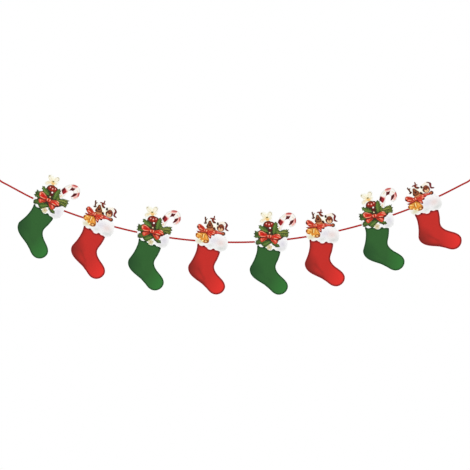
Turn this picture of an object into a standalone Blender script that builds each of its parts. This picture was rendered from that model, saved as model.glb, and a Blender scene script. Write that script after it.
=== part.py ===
"""Paper stocking garland: die-cut stocking cards hung in turn, green and red, along one cord.

Metres, +Z up. The garland hangs in the XZ plane with its printed side facing -Y, the cord's centre line lies in
the plane y = 0, and the origin is where a hook holds the left loop. Each card hangs in front of the cord, and a
paper patch over the cord, stuck to the card's back, holds it there.
"""
import math

import bmesh
import bpy
from mathutils import Vector
from mathutils.geometry import delaunay_2d_cdt

# Driving sizes in metres
STOCKING_HEIGHT = 0.100      # toe to the top of the leg
CARD_THICKNESS = 0.0005
CORD_DIAMETER = 0.0034
SEAT_GAP = 0.0003            # left between pieces that touch
PATCH_LENGTH = 0.036         # along the cord
PATCH_WIDTH = 0.020          # across the cord
PATCH_THICKNESS = 0.0003
LOOP_LENGTH = 0.030          # knot to the far end of the loop, on the cord's centre line
LOOP_WIDTH = 0.016           # between the centre lines of the loop's two sides
KNOT_LENGTH = 0.009
KNOT_WALL = 0.0026           # wraps round the two strands
TAIL_LENGTH = 0.005          # free end past the knot
TAIL_SPREAD = 0.002          # by which the free end leans away from the run
JOIN_LENGTH = 0.010          # past the knot, where the cord comes back into the run's line

# Shapes of the folds
PATCH_SLOPE = math.radians(35)   # from the card up to the ridge over the cord
PATCH_ACROSS = -2.0              # where a card's patch sits, in the outline's units
KNOT_END_SHARE = 0.55            # wall at the knot's ends, of that at its middle
LOOP_SHOULDER = 0.5              # where the loop's sides are half open, from the knot to its widest
SHOULDER_WIDTH = 0.66            # how wide it is there
LOOP_TURNS = (-10, 10, 30, 50, 70)         # degrees round the end of the loop: 0 is at its widest, 90 at the hook

# Smoothness of the curves
OUTLINE_TURN = math.radians(14)
PRINT_TURN = math.radians(30)
CORD_TURN = math.radians(16)
CORD_STEP = 0.038
SAME_POINT = 0.001           # in outline units, for points that fall together
RIDGE_STEPS = 4
KNOT_SIDES = 16
KNOT_RINGS = 7
SMOOTH_UP_TO = math.radians(40)

# An outline is written as its points, "right,up", in hundredths of the stocking's height, with the stocking
# upright. A smooth curve runs through the points, and ! marks a corner. The cord's route and the cards' places
# are in the same unit, so that the garland grows with its cards.
OUTLINE_UNIT = STOCKING_HEIGHT / 100

LEG_EDGE = """
-29.7,12.6! -29.7,6 -31.1,-2 -33.6,-10 -37.0,-18 -41.2,-25.6 -44.0,-31 -44.6,-36.5 -42.9,-43 -38.1,-50
-28.0,-57.9 -14.9,-66 -5.4,-74 2.6,-81.6 9,-84.8 16,-85.4 24,-82.5 30.2,-75.5 31.9,-69 30.3,-62.4 24,-54
15.4,-46 9.4,-38 7.1,-30 8.4,-24 12.2,-16 15.0,-8 16.6,-2 16.9,0.2!
"""
CUFF_RIGHT = "21,0.9 26.0,3.7 29.6,8.6 31.0,15.5 30.9,22.5 29.6,27.0!"
CUFF_LEFT = "-33.6,28.4! -34.6,23.4 -33.4,17.4"

GREEN_TOP = """
32.9,28.2! 32.4,32.4! 35.6,34.5! 33.5,37.0! 36.0,39.6! 33.5,41.5! 35.6,46.4! 30.6,44.5! 28.1,46.6! 25.5,44.5!
22.7,46.6! 20.6,44.8! 21.4,48.8 23.4,54.2 25.0,59.4 27.0,63.4 30.6,65.4 34.2,63.6 35.5,60.3 34.4,57.0 33.0,54.0
34.4,50.6 38.5,49.1 43.0,50.8 47.2,54.8 49.2,61.0 48.7,67.4 45.8,73.9 40.9,78.5 34.0,79.9 26.8,78.2 19.8,73.5
13.9,67.2 10.5,61.4! 8.4,60.4! 6.8,61.8! 4.4,60.6 2.0,62.2! -0.2,62.8 -1.2,64.6! 0.8,67.2 0.0,70.4! 1.8,75.6
0.8,79.8 -3.6,81.8 -8.0,80.2 -10.6,76.6! -13.6,79.2 -18.6,80.8 -22.8,79.0 -23.4,74.4 -20.6,70.4 -18.8,68.0!
-23.2,65.8 -25.4,61.2 -23.4,57.6 -21.6,56.2! -24.0,54.4! -28.4,54.8! -25.8,50.6! -26.8,48.2! -25.0,45.8!
-27.6,43.6 -29.6,40.6! -31.4,42.2! -35.3,44.2! -35.6,39.6! -38.0,36.9! -36.2,34.4! -38.4,30.6!
"""
RED_TOP = """
26.4,31.4! 26.2,35.4 24.8,39.6 22.0,41.6! 24.0,44.2 26.8,43.2 31.0,41.6! 32.4,44.6! 29.4,46.2 28.2,48.2 29.2,52.0
28.8,56.4 25.8,60.4 20.8,62.2 15.6,60.6 11.2,59.8 8.0,60.0 5.8,57.4 5.0,52.0 4.4,49.0! 2.4,49.8 0.8,52.0
-0.6,55.4! 2.6,55.8 5.2,58.2 3.0,60.2! 2.0,61.8! 5.0,63.8! 3.0,65.8 2.6,69.4 1.0,72.0 -1.0,71.6 -2.0,68.2!
-8.4,67.4! -10.2,65.0! -13.0,66.8! -15.4,67.4! -16.2,69.8 -18.2,69.8 -19.2,67.4 -18.4,63.4 -18.0,59.4!
-21.0,58.0 -20.8,55.0 -17.6,53.4 -15.6,52.4! -16.6,49.8 -17.2,47.8! -20.6,51.2 -24.4,53.8 -28.2,55.4 -31.8,53.9
-34.2,50.2 -34.7,46.2 -31.8,42.4 -31.2,41.0! -34.2,40.2 -33.8,37.4 -31.8,36.2! -34.6,34.2 -35.6,30.8!
"""
LEG_TOP = """
16.9,0.2! 12.5,2.4 8.6,2.8 6.8,3.3! 5.3,5.0 3.0,6.0 0.8,5.2 -0.8,3.6! -4.5,3.4 -8.2,4.8 -9.8,7.2! -12.6,8.4
-14.0,10.0! -15.8,10.9 -18.0,10.2! -22.0,9.9 -25.4,11.2! -27.4,13.8 -29.7,12.6!
"""
LEG_BLEED = "-50,0! -50,-90! 40,-90! 40,0!"  # past the card's edge all round

# Printed fields, each with its colour, from the back to the front
GREEN_PRINT = [
    ("holly", """-34.4,42.8! -31.4,41.0! -27.4,54.0! -21.6,54.6 -15.4,60.0 -4.0,62.0 1.8,61.2! 4.4,59.4! 6.8,60.8!
        8.6,57.4! 11.6,54.8! 10.4,51.6! 11.8,48.6! 12.0,43.8! 22.7,45.7! 25.4,43.4! 28.0,45.7! 30.4,43.4!
        34.8,45.6! 32.8,41.3! 35.3,39.5! 32.9,37.0! 35.0,34.5! 31.9,32.5! 32.5,28.7! 21.6,29.8 12.0,22.0
        16.6,10.8! 9.8,9.4! 7.6,7.6! 1.0,15.0! -5.0,16.0! -11.0,9.0! -17.4,11.2! -19.0,15.4! -26.0,14.6!
        -31.6,16.2! -34.8,17.6! -33.4,21.0! -35.0,23.9! -30.6,25.6! -33.2,30.2! -37.2,31.0! -35.2,34.4! -37.0,36.9!"""),
    ("gold", """-14.0,62.4 -20.5,58.6 -24.4,61.2 -20.5,66.2 -15.0,68.2! -19.0,70.8 -22.4,75.6 -19.5,79.6 -14.5,76.6
        -10.4,69.6! -8.8,76.0 -4.0,80.8 0.4,77.6 -2.2,71.4! -0.8,67.0 -4.6,62.4"""),
    ("red", "-14.0,55.0 -11.6,60.6 -6.0,63.0 -0.4,60.6 2.0,55.0 -1.0,47.0 -2.6,41.0 -6.4,41.0 -8.4,46.4"),
    ("red", "11.3,59.4! 16.2,67.2! 19.5,64.0 24.6,61.2! 24.0,58.6! 21.0,56.0 17.6,52.4!"),
    ("red", "28.0,78.6! 39.8,79.4! 36.4,71.6! 33.4,66.0! 26.4,64.4! 28.6,73.0!"),
    ("red", "33.9,54.0! 36.8,61.6! 46.2,68.8! 49.0,62.0! 46.4,56.4!"),
    ("bow", """-8.5,33.0! -13.5,40.4 -22.0,44.4 -28.4,39.8 -26.5,31.6 -24.6,27.0! -26.0,21.6! -16.0,20.4 -5.0,25.6
        3.4,16.6! 12.2,18.2! 9.0,24.4 17.4,24.6 19.0,28.4 16.5,35.0 9.0,37.2 0.0,33.4!"""),
    ("cream", "-11.6,8.4 -8.6,4.8 -2.8,4.0 1.2,8.0 -0.4,12.6 -4.6,14.0 -9.4,12.4"),
]
RED_PRINT = [
    ("brown", """-14.4,50.0 -12.0,55.4! -19.6,56.0! -16.4,59.8! -17.6,68.4! -14.6,64.6 -9.6,61.0 -7.4,61.2
        -3.6,60.0! -2.4,65.0! -8.6,66.4! 0.0,66.4! 0.8,71.0! 2.0,65.6! 1.6,59.4 4.4,58.0 -1.0,55.0! 0.0,50.0
        4.4,44.0 2.0,40.0 -12.0,42.0 -14.0,45.6"""),
    ("brown", "6.4,56.0 8.8,59.4 10.8,55.2 15.6,55.8 21.2,51.0 21.0,45.0 16.0,41.6 9.0,43.0 7.6,49.0"),
    ("cream", "9.8,47.4 12.0,49.2 14.2,47.8 17.4,48.2 19.4,45.6 18.0,43.0 14.2,42.0 10.6,43.8"),
    ("red", "20.4,60.8! 25.6,59.0 28.5,53.8 27.1,47.8 31.4,44.4! 30.6,42.6! 24.6,45.8 24.2,49.4 25.4,54.6"),
    ("red", "3.6,36.8 4.2,41.6 9.0,43.4 15.6,40.6 21.6,41.0 24.6,37.0 21.0,32.6 16.0,34.8 8.8,35.2"),
    ("gold", """-34.6,30.8 -33.0,34.4 -28.0,36.2 -18.0,34.4 -11.0,29.0 -7.0,20.6 -8.6,16.4 -15.0,15.4 -20.4,18.6
        -27.0,22.6 -32.6,26.4"""),
    ("bow", """-16.2,45.4! -23.4,52.4 -29.4,54.2 -33.6,47.6 -29.0,41.0 -33.2,38.8! -31.2,36.6! -16.4,36.6!
        -9.8,30.0 -3.4,26.4! -4.0,31.4 2.2,31.8 5.2,37.6 2.4,42.4 -8.0,43.0 -13.0,44.6"""),
]

# Colours, with the roughness of each finish
COLOURS = {
    "white": ((0.86, 0.86, 0.84), 0.55),
    "green_leg": ((0.020, 0.155, 0.035), 0.50),
    "red_leg": ((0.58, 0.024, 0.020), 0.50),
    "holly": ((0.065, 0.190, 0.040), 0.50),
    "gold": ((0.80, 0.46, 0.12), 0.45),
    "red": ((0.42, 0.020, 0.018), 0.50),
    "bow": ((0.72, 0.050, 0.025), 0.50),
    "brown": ((0.22, 0.085, 0.035), 0.50),
    "cream": ((0.86, 0.72, 0.50), 0.55),
    "paper_patch": ((0.82, 0.80, 0.75), 0.80),
    "red_cord": ((0.42, 0.028, 0.036), 0.85),
}

# The cord's route between its two loops, from the left hook, at the two sides of every card
RUN_ROUTE = """
105.1,-55.2 165.3,-79.6 204.1,-93.3 267.0,-111.7 311.5,-122.4 376.2,-133.5 427.5,-139.4 493.7,-142.8
547.9,-142.1 613.4,-137.0 651.8,-131.6 715.4,-119.9 763.8,-107.4 824.6,-88.2 854.3,-77.3 916.4,-50.9
"""
HOOKS = "0,0 1017.1,0"       # the left one and the right one

# Each card: its print, its middle from the left hook, and how far it turns counter-clockwise in degrees
CARDS = [
    ("green", "129.2,-89.5", -21.36),
    ("red", "232.2,-129.2", -12.59),
    ("green", "343.6,-152.5", -7.73),
    ("red", "461.8,-161.1", -4.09),
    ("green", "582.5,-162.3", 0.0),
    ("red", "688.2,-147.7", 6.91),
    ("green", "800.0,-119.1", 13.76),
    ("red", "900.1,-86.1", 27.70),
]

# Sizes that follow from those above
CORD_RADIUS = CORD_DIAMETER / 2
CARD_BACK = -(CORD_RADIUS + SEAT_GAP)
CARD_FRONT = CARD_BACK - CARD_THICKNESS
PATCH_FACE = CARD_BACK + SEAT_GAP
RIDGE_RADIUS = CORD_RADIUS + SEAT_GAP
STRAND_SIDE = (CORD_DIAMETER + SEAT_GAP) / 2    # from the loop's middle line to each strand in the knot
KNOT_INNER_END = LOOP_LENGTH - CORD_RADIUS      # from the hook, which the inside of the loop rests on
KNOT_OUTER_END = KNOT_INNER_END + KNOT_LENGTH


def material(name):
    """The named colour as a Principled material, made once."""
    if name in bpy.data.materials:
        return bpy.data.materials[name]
    colour, roughness = COLOURS[name]
    made = bpy.data.materials.new(name)
    made.use_nodes = True
    shader = made.node_tree.nodes["Principled BSDF"]
    shader.inputs["Base Color"].default_value = (*colour, 1.0)
    shader.inputs["Roughness"].default_value = roughness
    shader.inputs["Metallic"].default_value = 0.0
    return made


def add_object(name, data):
    """A new object in the scene."""
    made = bpy.data.objects.new(name, data)
    bpy.context.scene.collection.objects.link(made)
    return made


def read_points(text):
    """The points of an outline or a route, and whether each is a corner."""
    words = text.split()
    points = [Vector([float(number) for number in word.rstrip("!").split(",")]) for word in words]
    return points, [word.endswith("!") for word in words]


def slope_at(before, here, after):
    """The direction of a smooth curve at a point, which leans to the nearer of its two neighbours."""
    arriving = here - before
    leaving = after - here
    ratio = leaving.length / arriving.length
    return (arriving * ratio + leaving / ratio) / (arriving.length + leaving.length)


def curve_through(points, corners, closed, steps_in):
    """Points along a smooth curve through the given ones, with steps_in(length, turn) steps to a span."""
    count = len(points)
    found = []
    for index in range(count if closed else count - 1):
        start = points[index]
        end = points[(index + 1) % count]
        length = (end - start).length
        chord = (end - start) / length
        if corners[index] and corners[(index + 1) % count]:
            found.append(start)
            continue
        leave = None if corners[index] else slope_at(points[index - 1], start, end)
        arrive = None if corners[(index + 1) % count] else slope_at(start, end, points[(index + 2) % count])
        leave = leave or 1.5 * chord - 0.5 * arrive
        arrive = arrive or 1.5 * chord - 0.5 * leave
        steps = steps_in(length, leave.angle(chord) + chord.angle(arrive))
        for step in range(steps):
            t = step / steps
            at_start = start * (2 * t ** 3 - 3 * t ** 2 + 1) + leave * length * (t ** 3 - 2 * t ** 2 + t)
            at_end = end * (3 * t ** 2 - 2 * t ** 3) + arrive * length * (t ** 3 - t ** 2)
            found.append(at_start + at_end)
    return found if closed else found + [points[-1]]


def outline(text, turn):
    """A closed outline, counter-clockwise, whose curves turn by no more than the given angle at a point."""
    points, corners = read_points(text)
    ring = curve_through(points, corners, True, lambda length, bend: max(1, math.ceil(bend / turn)))
    doubled_area = sum(here.cross(after) for here, after in zip(ring, ring[1:] + ring[:1]))
    return ring if doubled_area > 0 else ring[::-1]


def card_mesh(kind, top, prints):
    """One die-cut card: its printed front split into the fields of colour, white edges and a plain back."""
    rings = [outline(LEG_EDGE + CUFF_RIGHT + top + CUFF_LEFT, OUTLINE_TURN)]
    rings.append(outline(LEG_TOP + LEG_BLEED, OUTLINE_TURN))
    rings += [outline(text, PRINT_TURN) for colour, text in prints]
    colours = ["white", kind + "_leg"] + [colour for colour, text in prints]
    points = [point for ring in rings for point in ring]
    starts = [sum(len(ring) for ring in rings[:index]) for index in range(len(rings))]
    faces = [list(range(start, start + len(ring))) for start, ring in zip(starts, rings)]
    flat, _, triangles, _, _, inside = delaunay_2d_cdt(points, [], faces, 1, SAME_POINT, True)

    slots = sorted(set(colours), key=colours.index)
    shape = bmesh.new()
    front = [shape.verts.new((x * OUTLINE_UNIT, CARD_FRONT, z * OUTLINE_UNIT)) for x, z in flat]
    for triangle, fields in zip(triangles, inside):
        if 0 in fields:
            face = shape.faces.new([front[index] for index in triangle])
            face.material_index = slots.index(colours[max(fields)])
    bmesh.ops.delete(shape, geom=[vert for vert in shape.verts if not vert.link_faces], context="VERTS")
    pushed = bmesh.ops.extrude_face_region(shape, geom=shape.faces[:], use_keep_orig=True)["geom"]
    back = [item for item in pushed if isinstance(item, bmesh.types.BMFace)]
    for vert in {vert for face in back for vert in face.verts}:
        vert.co.y = CARD_BACK
    bmesh.ops.dissolve_faces(shape, faces=back)
    bmesh.ops.recalc_face_normals(shape, faces=shape.faces[:])
    for face in shape.faces:
        if any(vert.co.y > CARD_FRONT + CARD_THICKNESS / 2 for vert in face.verts):
            face.material_index = 0
    mesh = bpy.data.meshes.new(kind + "_card")
    shape.to_mesh(mesh)
    shape.free()
    for name in slots:
        mesh.materials.append(material(name))
    return mesh


def add_card(number, mesh, middle, tilt):
    """One card, hung in front of the cord and turned in its own plane."""
    card = add_object("stocking_card_%d" % number, mesh)
    card.location = (middle.x, 0.0, middle.y)
    card.rotation_euler.y = -tilt


def end_route(hook, run_end):
    """The cord from its free end through the knot, round the loop and back through the knot to the run."""
    inwards = (run_end - hook).normalized()
    across = Vector((-inwards.y, inwards.x)) * math.copysign(1.0, inwards.x)
    half = LOOP_WIDTH / 2
    widest = half - CORD_RADIUS
    shoulder = KNOT_INNER_END + (widest - KNOT_INNER_END) * LOOP_SHOULDER
    strand = [
        (KNOT_OUTER_END, STRAND_SIDE),
        ((KNOT_OUTER_END + KNOT_INNER_END) / 2, STRAND_SIDE),
        (KNOT_INNER_END, STRAND_SIDE),
        (shoulder, half * SHOULDER_WIDTH),
    ]
    strand += [(widest - half * math.sin(turn), half * math.cos(turn)) for turn in map(math.radians, LOOP_TURNS)]
    away = [(KNOT_OUTER_END + TAIL_LENGTH, -STRAND_SIDE - TAIL_SPREAD)]
    away += [(inner, -side) for inner, side in strand]
    home = [(-CORD_RADIUS, 0.0)] + strand[::-1]
    home += [(KNOT_OUTER_END + JOIN_LENGTH, 0.0), (KNOT_OUTER_END + 2 * JOIN_LENGTH, 0.0)]
    return [hook + inwards * inner + across * side for inner, side in away + home]


def cord_steps(length, turn):
    """How many straight pieces a span of the cord gets."""
    return max(1, math.ceil(max(length / CORD_STEP, turn / CORD_TURN)))


def add_cord(route):
    """The cord: one tube on a smooth curve through its route."""
    points = curve_through(route, [True] + [False] * (len(route) - 2) + [True], False, cord_steps)
    curve = bpy.data.curves.new("cord", "CURVE")
    curve.dimensions = "3D"
    curve.bevel_depth = CORD_RADIUS
    curve.bevel_resolution = 2
    curve.use_fill_caps = True
    spline = curve.splines.new("POLY")
    spline.points.add(len(points) - 1)
    for place, point in zip(spline.points, points):
        place.co = (point.x, 0.0, point.y, 1.0)
    spline.use_smooth = True
    curve.materials.append(material("red_cord"))
    add_object("cord", curve)
    return points


def add_skin(name, rings, colour, capped):
    """One closed body through rings of points, capped at its two ends or led back to its first ring."""
    sides = len(rings[0])
    faces = []
    for ring in range(len(rings) - 1 if capped else len(rings)):
        here = ring * sides
        there = (ring + 1) % len(rings) * sides
        for side in range(sides):
            after = (side + 1) % sides
            faces.append((here + side, here + after, there + after, there + side))
    if capped:
        faces += [range(sides), range((len(rings) - 1) * sides, len(rings) * sides)]
    mesh = bpy.data.meshes.new(name)
    mesh.from_pydata([point for ring in rings for point in ring], [], [tuple(face) for face in faces])
    shape = bmesh.new()
    shape.from_mesh(mesh)
    bmesh.ops.recalc_face_normals(shape, faces=shape.faces[:])
    shape.to_mesh(mesh)
    shape.free()
    mesh.shade_smooth()
    mesh.set_sharp_from_angle(angle=SMOOTH_UP_TO)
    mesh.materials.append(material(colour))
    return add_object(name, mesh)


def patch_line(radius, level):
    """One face of a patch, seen along the cord: flat on the card, up a slope and over the cord."""
    foot = (radius - level * math.cos(PATCH_SLOPE)) / math.sin(PATCH_SLOPE)
    line = [(-PATCH_WIDTH / 2, level), (-foot, level)]
    for step in range(RIDGE_STEPS + 1):
        angle = PATCH_SLOPE * (2 * step / RIDGE_STEPS - 1)
        line.append((radius * math.sin(angle), radius * math.cos(angle)))
    return line + [(foot, level), (PATCH_WIDTH / 2, level)]


def place_on(points, distance):
    """The place and direction at a distance along a line of points."""
    for start, end in zip(points, points[1:]):
        length = (end - start).length
        if distance <= length or end is points[-1]:
            return start + (end - start) * (distance / length), (end - start) / length
        distance -= length


def distance_behind(points, middle, tilt):
    """How far along the cord it passes behind the place of a card's patch."""
    right = Vector((math.cos(tilt), math.sin(tilt)))
    travelled = 0.0
    for start, end in zip(points, points[1:]):
        before = (start - middle).dot(right) - PATCH_ACROSS * OUTLINE_UNIT
        after = (end - middle).dot(right) - PATCH_ACROSS * OUTLINE_UNIT
        if before < 0.0 <= after:
            return travelled + (end - start).length * before / (before - after)
        travelled += (end - start).length


def add_patch(number, run, middle, tilt):
    """A strip of paper stuck to a card's back on both sides of the cord, and folded over it."""
    profile = patch_line(RIDGE_RADIUS, PATCH_FACE)
    profile += patch_line(RIDGE_RADIUS + PATCH_THICKNESS, PATCH_FACE + PATCH_THICKNESS)[::-1]
    centre = distance_behind(run, middle, tilt)
    rings = []
    for shift in (-PATCH_LENGTH / 2, 0.0, PATCH_LENGTH / 2):
        place, along = place_on(run, centre + shift)
        ring = []
        for across, depth in profile:
            ring.append((place.x - along.y * across, depth, place.y + along.x * across))
        rings.append(ring)
    add_skin("back_patch_%d" % number, rings, "paper_patch", True)


def knot_ring(hook, inwards, distance, radius):
    """Points round both strands at a distance from the hook: two straight sides and two round ends."""
    ring = []
    for side in range(KNOT_SIDES):
        angle = math.tau * (side + 0.5) / KNOT_SIDES
        across = math.copysign(STRAND_SIDE, math.cos(angle)) + radius * math.cos(angle)
        place = hook + inwards * distance + Vector((-inwards.y, inwards.x)) * across
        ring.append((place.x, radius * math.sin(angle), place.y))
    return ring


def add_knot(name, hook, run_end):
    """The knot that closes a loop: a barrel of wraps with the two strands through it."""
    inwards = (run_end - hook).normalized()
    hole = CORD_RADIUS + SEAT_GAP
    rings = [knot_ring(hook, inwards, KNOT_OUTER_END, hole), knot_ring(hook, inwards, KNOT_INNER_END, hole)]
    for ring in range(KNOT_RINGS):
        share = ring / (KNOT_RINGS - 1)
        wall = KNOT_WALL * (KNOT_END_SHARE + (1 - KNOT_END_SHARE) * math.sin(math.pi * share))
        rings.append(knot_ring(hook, inwards, KNOT_INNER_END + KNOT_LENGTH * share, hole + wall))
    add_skin(name, rings, "red_cord", False)


def build():
    """The whole garland."""
    for old in list(bpy.data.objects):
        bpy.data.objects.remove(old)
    left, right = [point * OUTLINE_UNIT for point in read_points(HOOKS)[0]]
    run = [point * OUTLINE_UNIT for point in read_points(RUN_ROUTE)[0]]
    points = add_cord(end_route(left, run[0]) + run + end_route(right, run[-1])[::-1])
    add_knot("left_knot", left, run[0])
    add_knot("right_knot", right, run[-1])
    between = points[points.index(run[0]) - 1:points.index(run[-1]) + 2]
    meshes = {
        "green": card_mesh("green", GREEN_TOP, GREEN_PRINT),
        "red": card_mesh("red", RED_TOP, RED_PRINT),
    }
    for number, (kind, place, turned) in enumerate(CARDS, 1):
        middle = read_points(place)[0][0] * OUTLINE_UNIT
        add_card(number, meshes[kind], middle, math.radians(turned))
        add_patch(number, between, middle, math.radians(turned))


build()
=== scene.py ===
"""Looks of the paper stocking garland: printed die-cut cards, paper patches and a twisted, knotted cord.

Metres, +Z up, the printed side faces -Y. Card artwork is drawn in hundredths of the stocking's height.
"""

import math
from collections import namedtuple

import bmesh
import bpy
import numpy as np
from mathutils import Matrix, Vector
from mathutils.geometry import delaunay_2d_cdt


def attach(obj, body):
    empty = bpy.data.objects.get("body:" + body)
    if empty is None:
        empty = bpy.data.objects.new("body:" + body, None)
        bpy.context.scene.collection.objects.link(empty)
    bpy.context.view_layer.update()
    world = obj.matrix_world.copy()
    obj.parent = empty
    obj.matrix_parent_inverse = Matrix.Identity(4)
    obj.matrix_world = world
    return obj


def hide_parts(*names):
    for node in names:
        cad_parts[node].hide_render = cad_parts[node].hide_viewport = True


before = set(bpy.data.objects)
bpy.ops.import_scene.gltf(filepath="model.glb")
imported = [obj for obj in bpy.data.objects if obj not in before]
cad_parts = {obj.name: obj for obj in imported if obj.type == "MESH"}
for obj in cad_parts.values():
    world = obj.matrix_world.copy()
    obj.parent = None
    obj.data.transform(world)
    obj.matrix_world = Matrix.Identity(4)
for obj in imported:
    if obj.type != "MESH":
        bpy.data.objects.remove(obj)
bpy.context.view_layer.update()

# Sizes that the solids have, in metres
STOCKING_HEIGHT = 0.100
CARD_THICKNESS = 0.0005
CORD_DIAMETER = 0.0034
SEAT_GAP = 0.0003
LOOP_LENGTH = 0.030
LOOP_WIDTH = 0.016
KNOT_LENGTH = 0.009
KNOT_WALL = 0.0026
TAIL_LENGTH = 0.005
TAIL_SPREAD = 0.002
JOIN_LENGTH = 0.010
LOOP_SHOULDER = 0.5          # share of the way from the knot to the loop's widest place
SHOULDER_WIDTH = 0.66        # share of half the loop's width
LOOP_TURNS = (-10, 10, 30, 50, 70)          # degrees round the loop's end, from its widest place
OUTLINE_UNIT = STOCKING_HEIGHT / 100
CORD_RADIUS = CORD_DIAMETER / 2
CARD_BACK = -(CORD_RADIUS + SEAT_GAP)
CARD_FRONT = CARD_BACK - CARD_THICKNESS
STRAND_SIDE = (CORD_DIAMETER + SEAT_GAP) / 2
KNOT_INNER_END = LOOP_LENGTH - CORD_RADIUS
KNOT_OUTER_END = KNOT_INNER_END + KNOT_LENGTH

# Fineness of the visible shapes
OUTLINE_TURN = math.radians(7)
PRINT_TURN = math.radians(11)
SAME_POINT = 0.002           # in outline units
OVAL_POINTS = 14             # round a spot, at the least
OVAL_FINENESS = 9            # points round a spot for each unit of its reach
CORD_STEP = 0.0008
LOBES = 3                    # strands twisted into the cord
STRAND_SHARE = 0.64          # a strand's radius, as a share of the cord's
TWIST_RADIUS = 0.00185       # at the top of a strand; the cord's two strands just touch in a knot
LOBE_POINTS = 8
LAY_LENGTH = 0.0095          # along the cord, for one turn of its strands
# Painted shade: the cord is coloured darker in the grooves between its strands, where its surface dips
# inwards
GROOVE_START = 0.62          # share of the radius below which a groove is darkest
GROOVE_REACH = 0.3           # from there to full colour
WRAP_TURNS = 2.4
WRAP_STEP = 0.0005

# Camera
VIEW_WIDTH = 0.940           # at the cards: 470 pixels of 2 mm
VIEW_CENTRE = (0.5085, -0.1283)
LENS_MM = 200.0
SENSOR_MM = 36.0

# Light and floor
WHITE = (1.0, 1.0, 1.0, 1.0)
WORLD_STRENGTH = 0.76
LAMP_AIM = (0.5, 0.0, -0.13)
LAMPS = {                    # place, side of the square, power
    "key": ((-0.9, -2.6, 1.7), 2.2, 28.0),
    "fill": ((2.6, -2.2, 0.4), 2.2, 10.5),
    "rear": ((0.5, 2.6, 1.6), 2.0, 16.0),
}
FLOOR_LEVEL = -3.0
FLOOR_RADIUS = 20.0
FLOOR_CORNERS = 96
FLOOR_GLOW = 0.6             # share of white seen as background; the rest takes light and shadow

LEG_EDGE = """
-29.7,12.6! -29.7,6 -31.1,-2 -33.6,-10 -37,-18 -41.2,-25.6 -44,-31 -44.6,-36.5 -42.9,-43 -38.1,-50 -28,-57.9
-14.9,-66 -5.4,-74 2.6,-81.6 9,-84.8 16,-85.4 24,-82.5 30.2,-75.5 31.9,-69 30.3,-62.4 24,-54 15.4,-46
9.4,-38 7.1,-30 8.4,-24 12.2,-16 15,-8 16.6,-2 16.9,0.2!
"""
CUFF_RIGHT = "21,0.9 26,3.7 29.6,8.6 31,15.5 30.9,22.5 29.6,27!"
CUFF_LEFT = "-33.6,28.4! -34.6,23.4 -33.4,17.4"
GREEN_TOP = """
32.9,28.2! 32.4,32.4! 35.6,34.5! 33.5,37! 36,39.6! 33.5,41.5! 35.6,46.4! 30.6,44.5! 28.1,46.6! 25.5,44.5!
22.7,46.6! 20.6,44.8! 21.4,48.8 23.4,54.2 25,59.4 27,63.4 30.6,65.4 34.2,63.6 35.5,60.3 34.4,57 33,54
34.4,50.6 38.5,49.1 43,50.8 47.2,54.8 49.2,61 48.7,67.4 45.8,73.9 40.9,78.5 34,79.9 26.8,78.2 19.8,73.5
13.9,67.2 10.5,61.4! 8.4,60.4! 6.8,61.8! 4.4,60.6 2,62.2! -0.2,62.8 -1.2,64.6! 0.8,67.2 0,70.4! 1.8,75.6
0.8,79.8 -3.6,81.8 -8,80.2 -10.6,76.6! -13.6,79.2 -18.6,80.8 -22.8,79 -23.4,74.4 -20.6,70.4 -18.8,68!
-23.2,65.8 -25.4,61.2 -23.4,57.6 -21.6,56.2! -24,54.4! -28.4,54.8! -25.8,50.6! -26.8,48.2! -25,45.8!
-27.6,43.6 -29.6,40.6! -31.4,42.2! -35.3,44.2! -35.6,39.6! -38,36.9! -36.2,34.4! -38.4,30.6!
"""
RED_TOP = """
26.4,31.4! 26.2,35.4 24.8,39.6 22,41.6! 24,44.2 26.8,43.2 31,41.6! 32.4,44.6! 29.4,46.2 28.2,48.2 29.2,52
28.8,56.4 25.8,60.4 20.8,62.2 15.6,60.6 11.2,59.8 8,60 5.8,57.4 5,52 4.4,49! 2.4,49.8 0.8,52 -0.6,55.4!
2.6,55.8 5.2,58.2 3,60.2! 2,61.8! 5,63.8! 3,65.8 2.6,69.4 1,72 -1,71.6 -2,68.2! -8.4,67.4! -10.2,65!
-13,66.8! -15.4,67.4! -16.2,69.8 -18.2,69.8 -19.2,67.4 -18.4,63.4 -18,59.4! -21,58 -20.8,55 -17.6,53.4
-15.6,52.4! -16.6,49.8 -17.2,47.8! -20.6,51.2 -24.4,53.8 -28.2,55.4 -31.8,53.9 -34.2,50.2 -34.7,46.2
-31.8,42.4 -31.2,41! -34.2,40.2 -33.8,37.4 -31.8,36.2! -34.6,34.2 -35.6,30.8!
"""
LEG_TOP = """
16.9,0.2! 12.5,2.4 8.6,2.8 6.8,3.3! 5.3,5 3,6 0.8,5.2 -0.8,3.6! -4.5,3.4 -8.2,4.8 -9.8,7.2! -12.6,8.4
-14,10! -15.8,10.9 -18,10.2! -22,9.9 -25.4,11.2! -27.4,13.8 -29.7,12.6!
"""

# The cord's route between its two loops, from the left hook, at the two sides of every card
RUN_ROUTE = """
105.1,-55.2 165.3,-79.6 204.1,-93.3 267.0,-111.7 311.5,-122.4 376.2,-133.5 427.5,-139.4 493.7,-142.8
547.9,-142.1 613.4,-137.0 651.8,-131.6 715.4,-119.9 763.8,-107.4 824.6,-88.2 854.3,-77.3 916.4,-50.9
"""
HOOKS = "0,0 1017.1,0"

# Each card: its print, its middle from the left hook, and how far it turns counter-clockwise in degrees
CARDS = [
    ("green", "129.2,-89.5", -21.36),
    ("red", "232.2,-129.2", -12.59),
    ("green", "343.6,-152.5", -7.73),
    ("red", "461.8,-161.1", -4.09),
    ("green", "582.5,-162.3", 0.0),
    ("red", "688.2,-147.7", 6.91),
    ("green", "800.0,-119.1", 13.76),
    ("red", "900.1,-86.1", 27.70),
]

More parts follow.
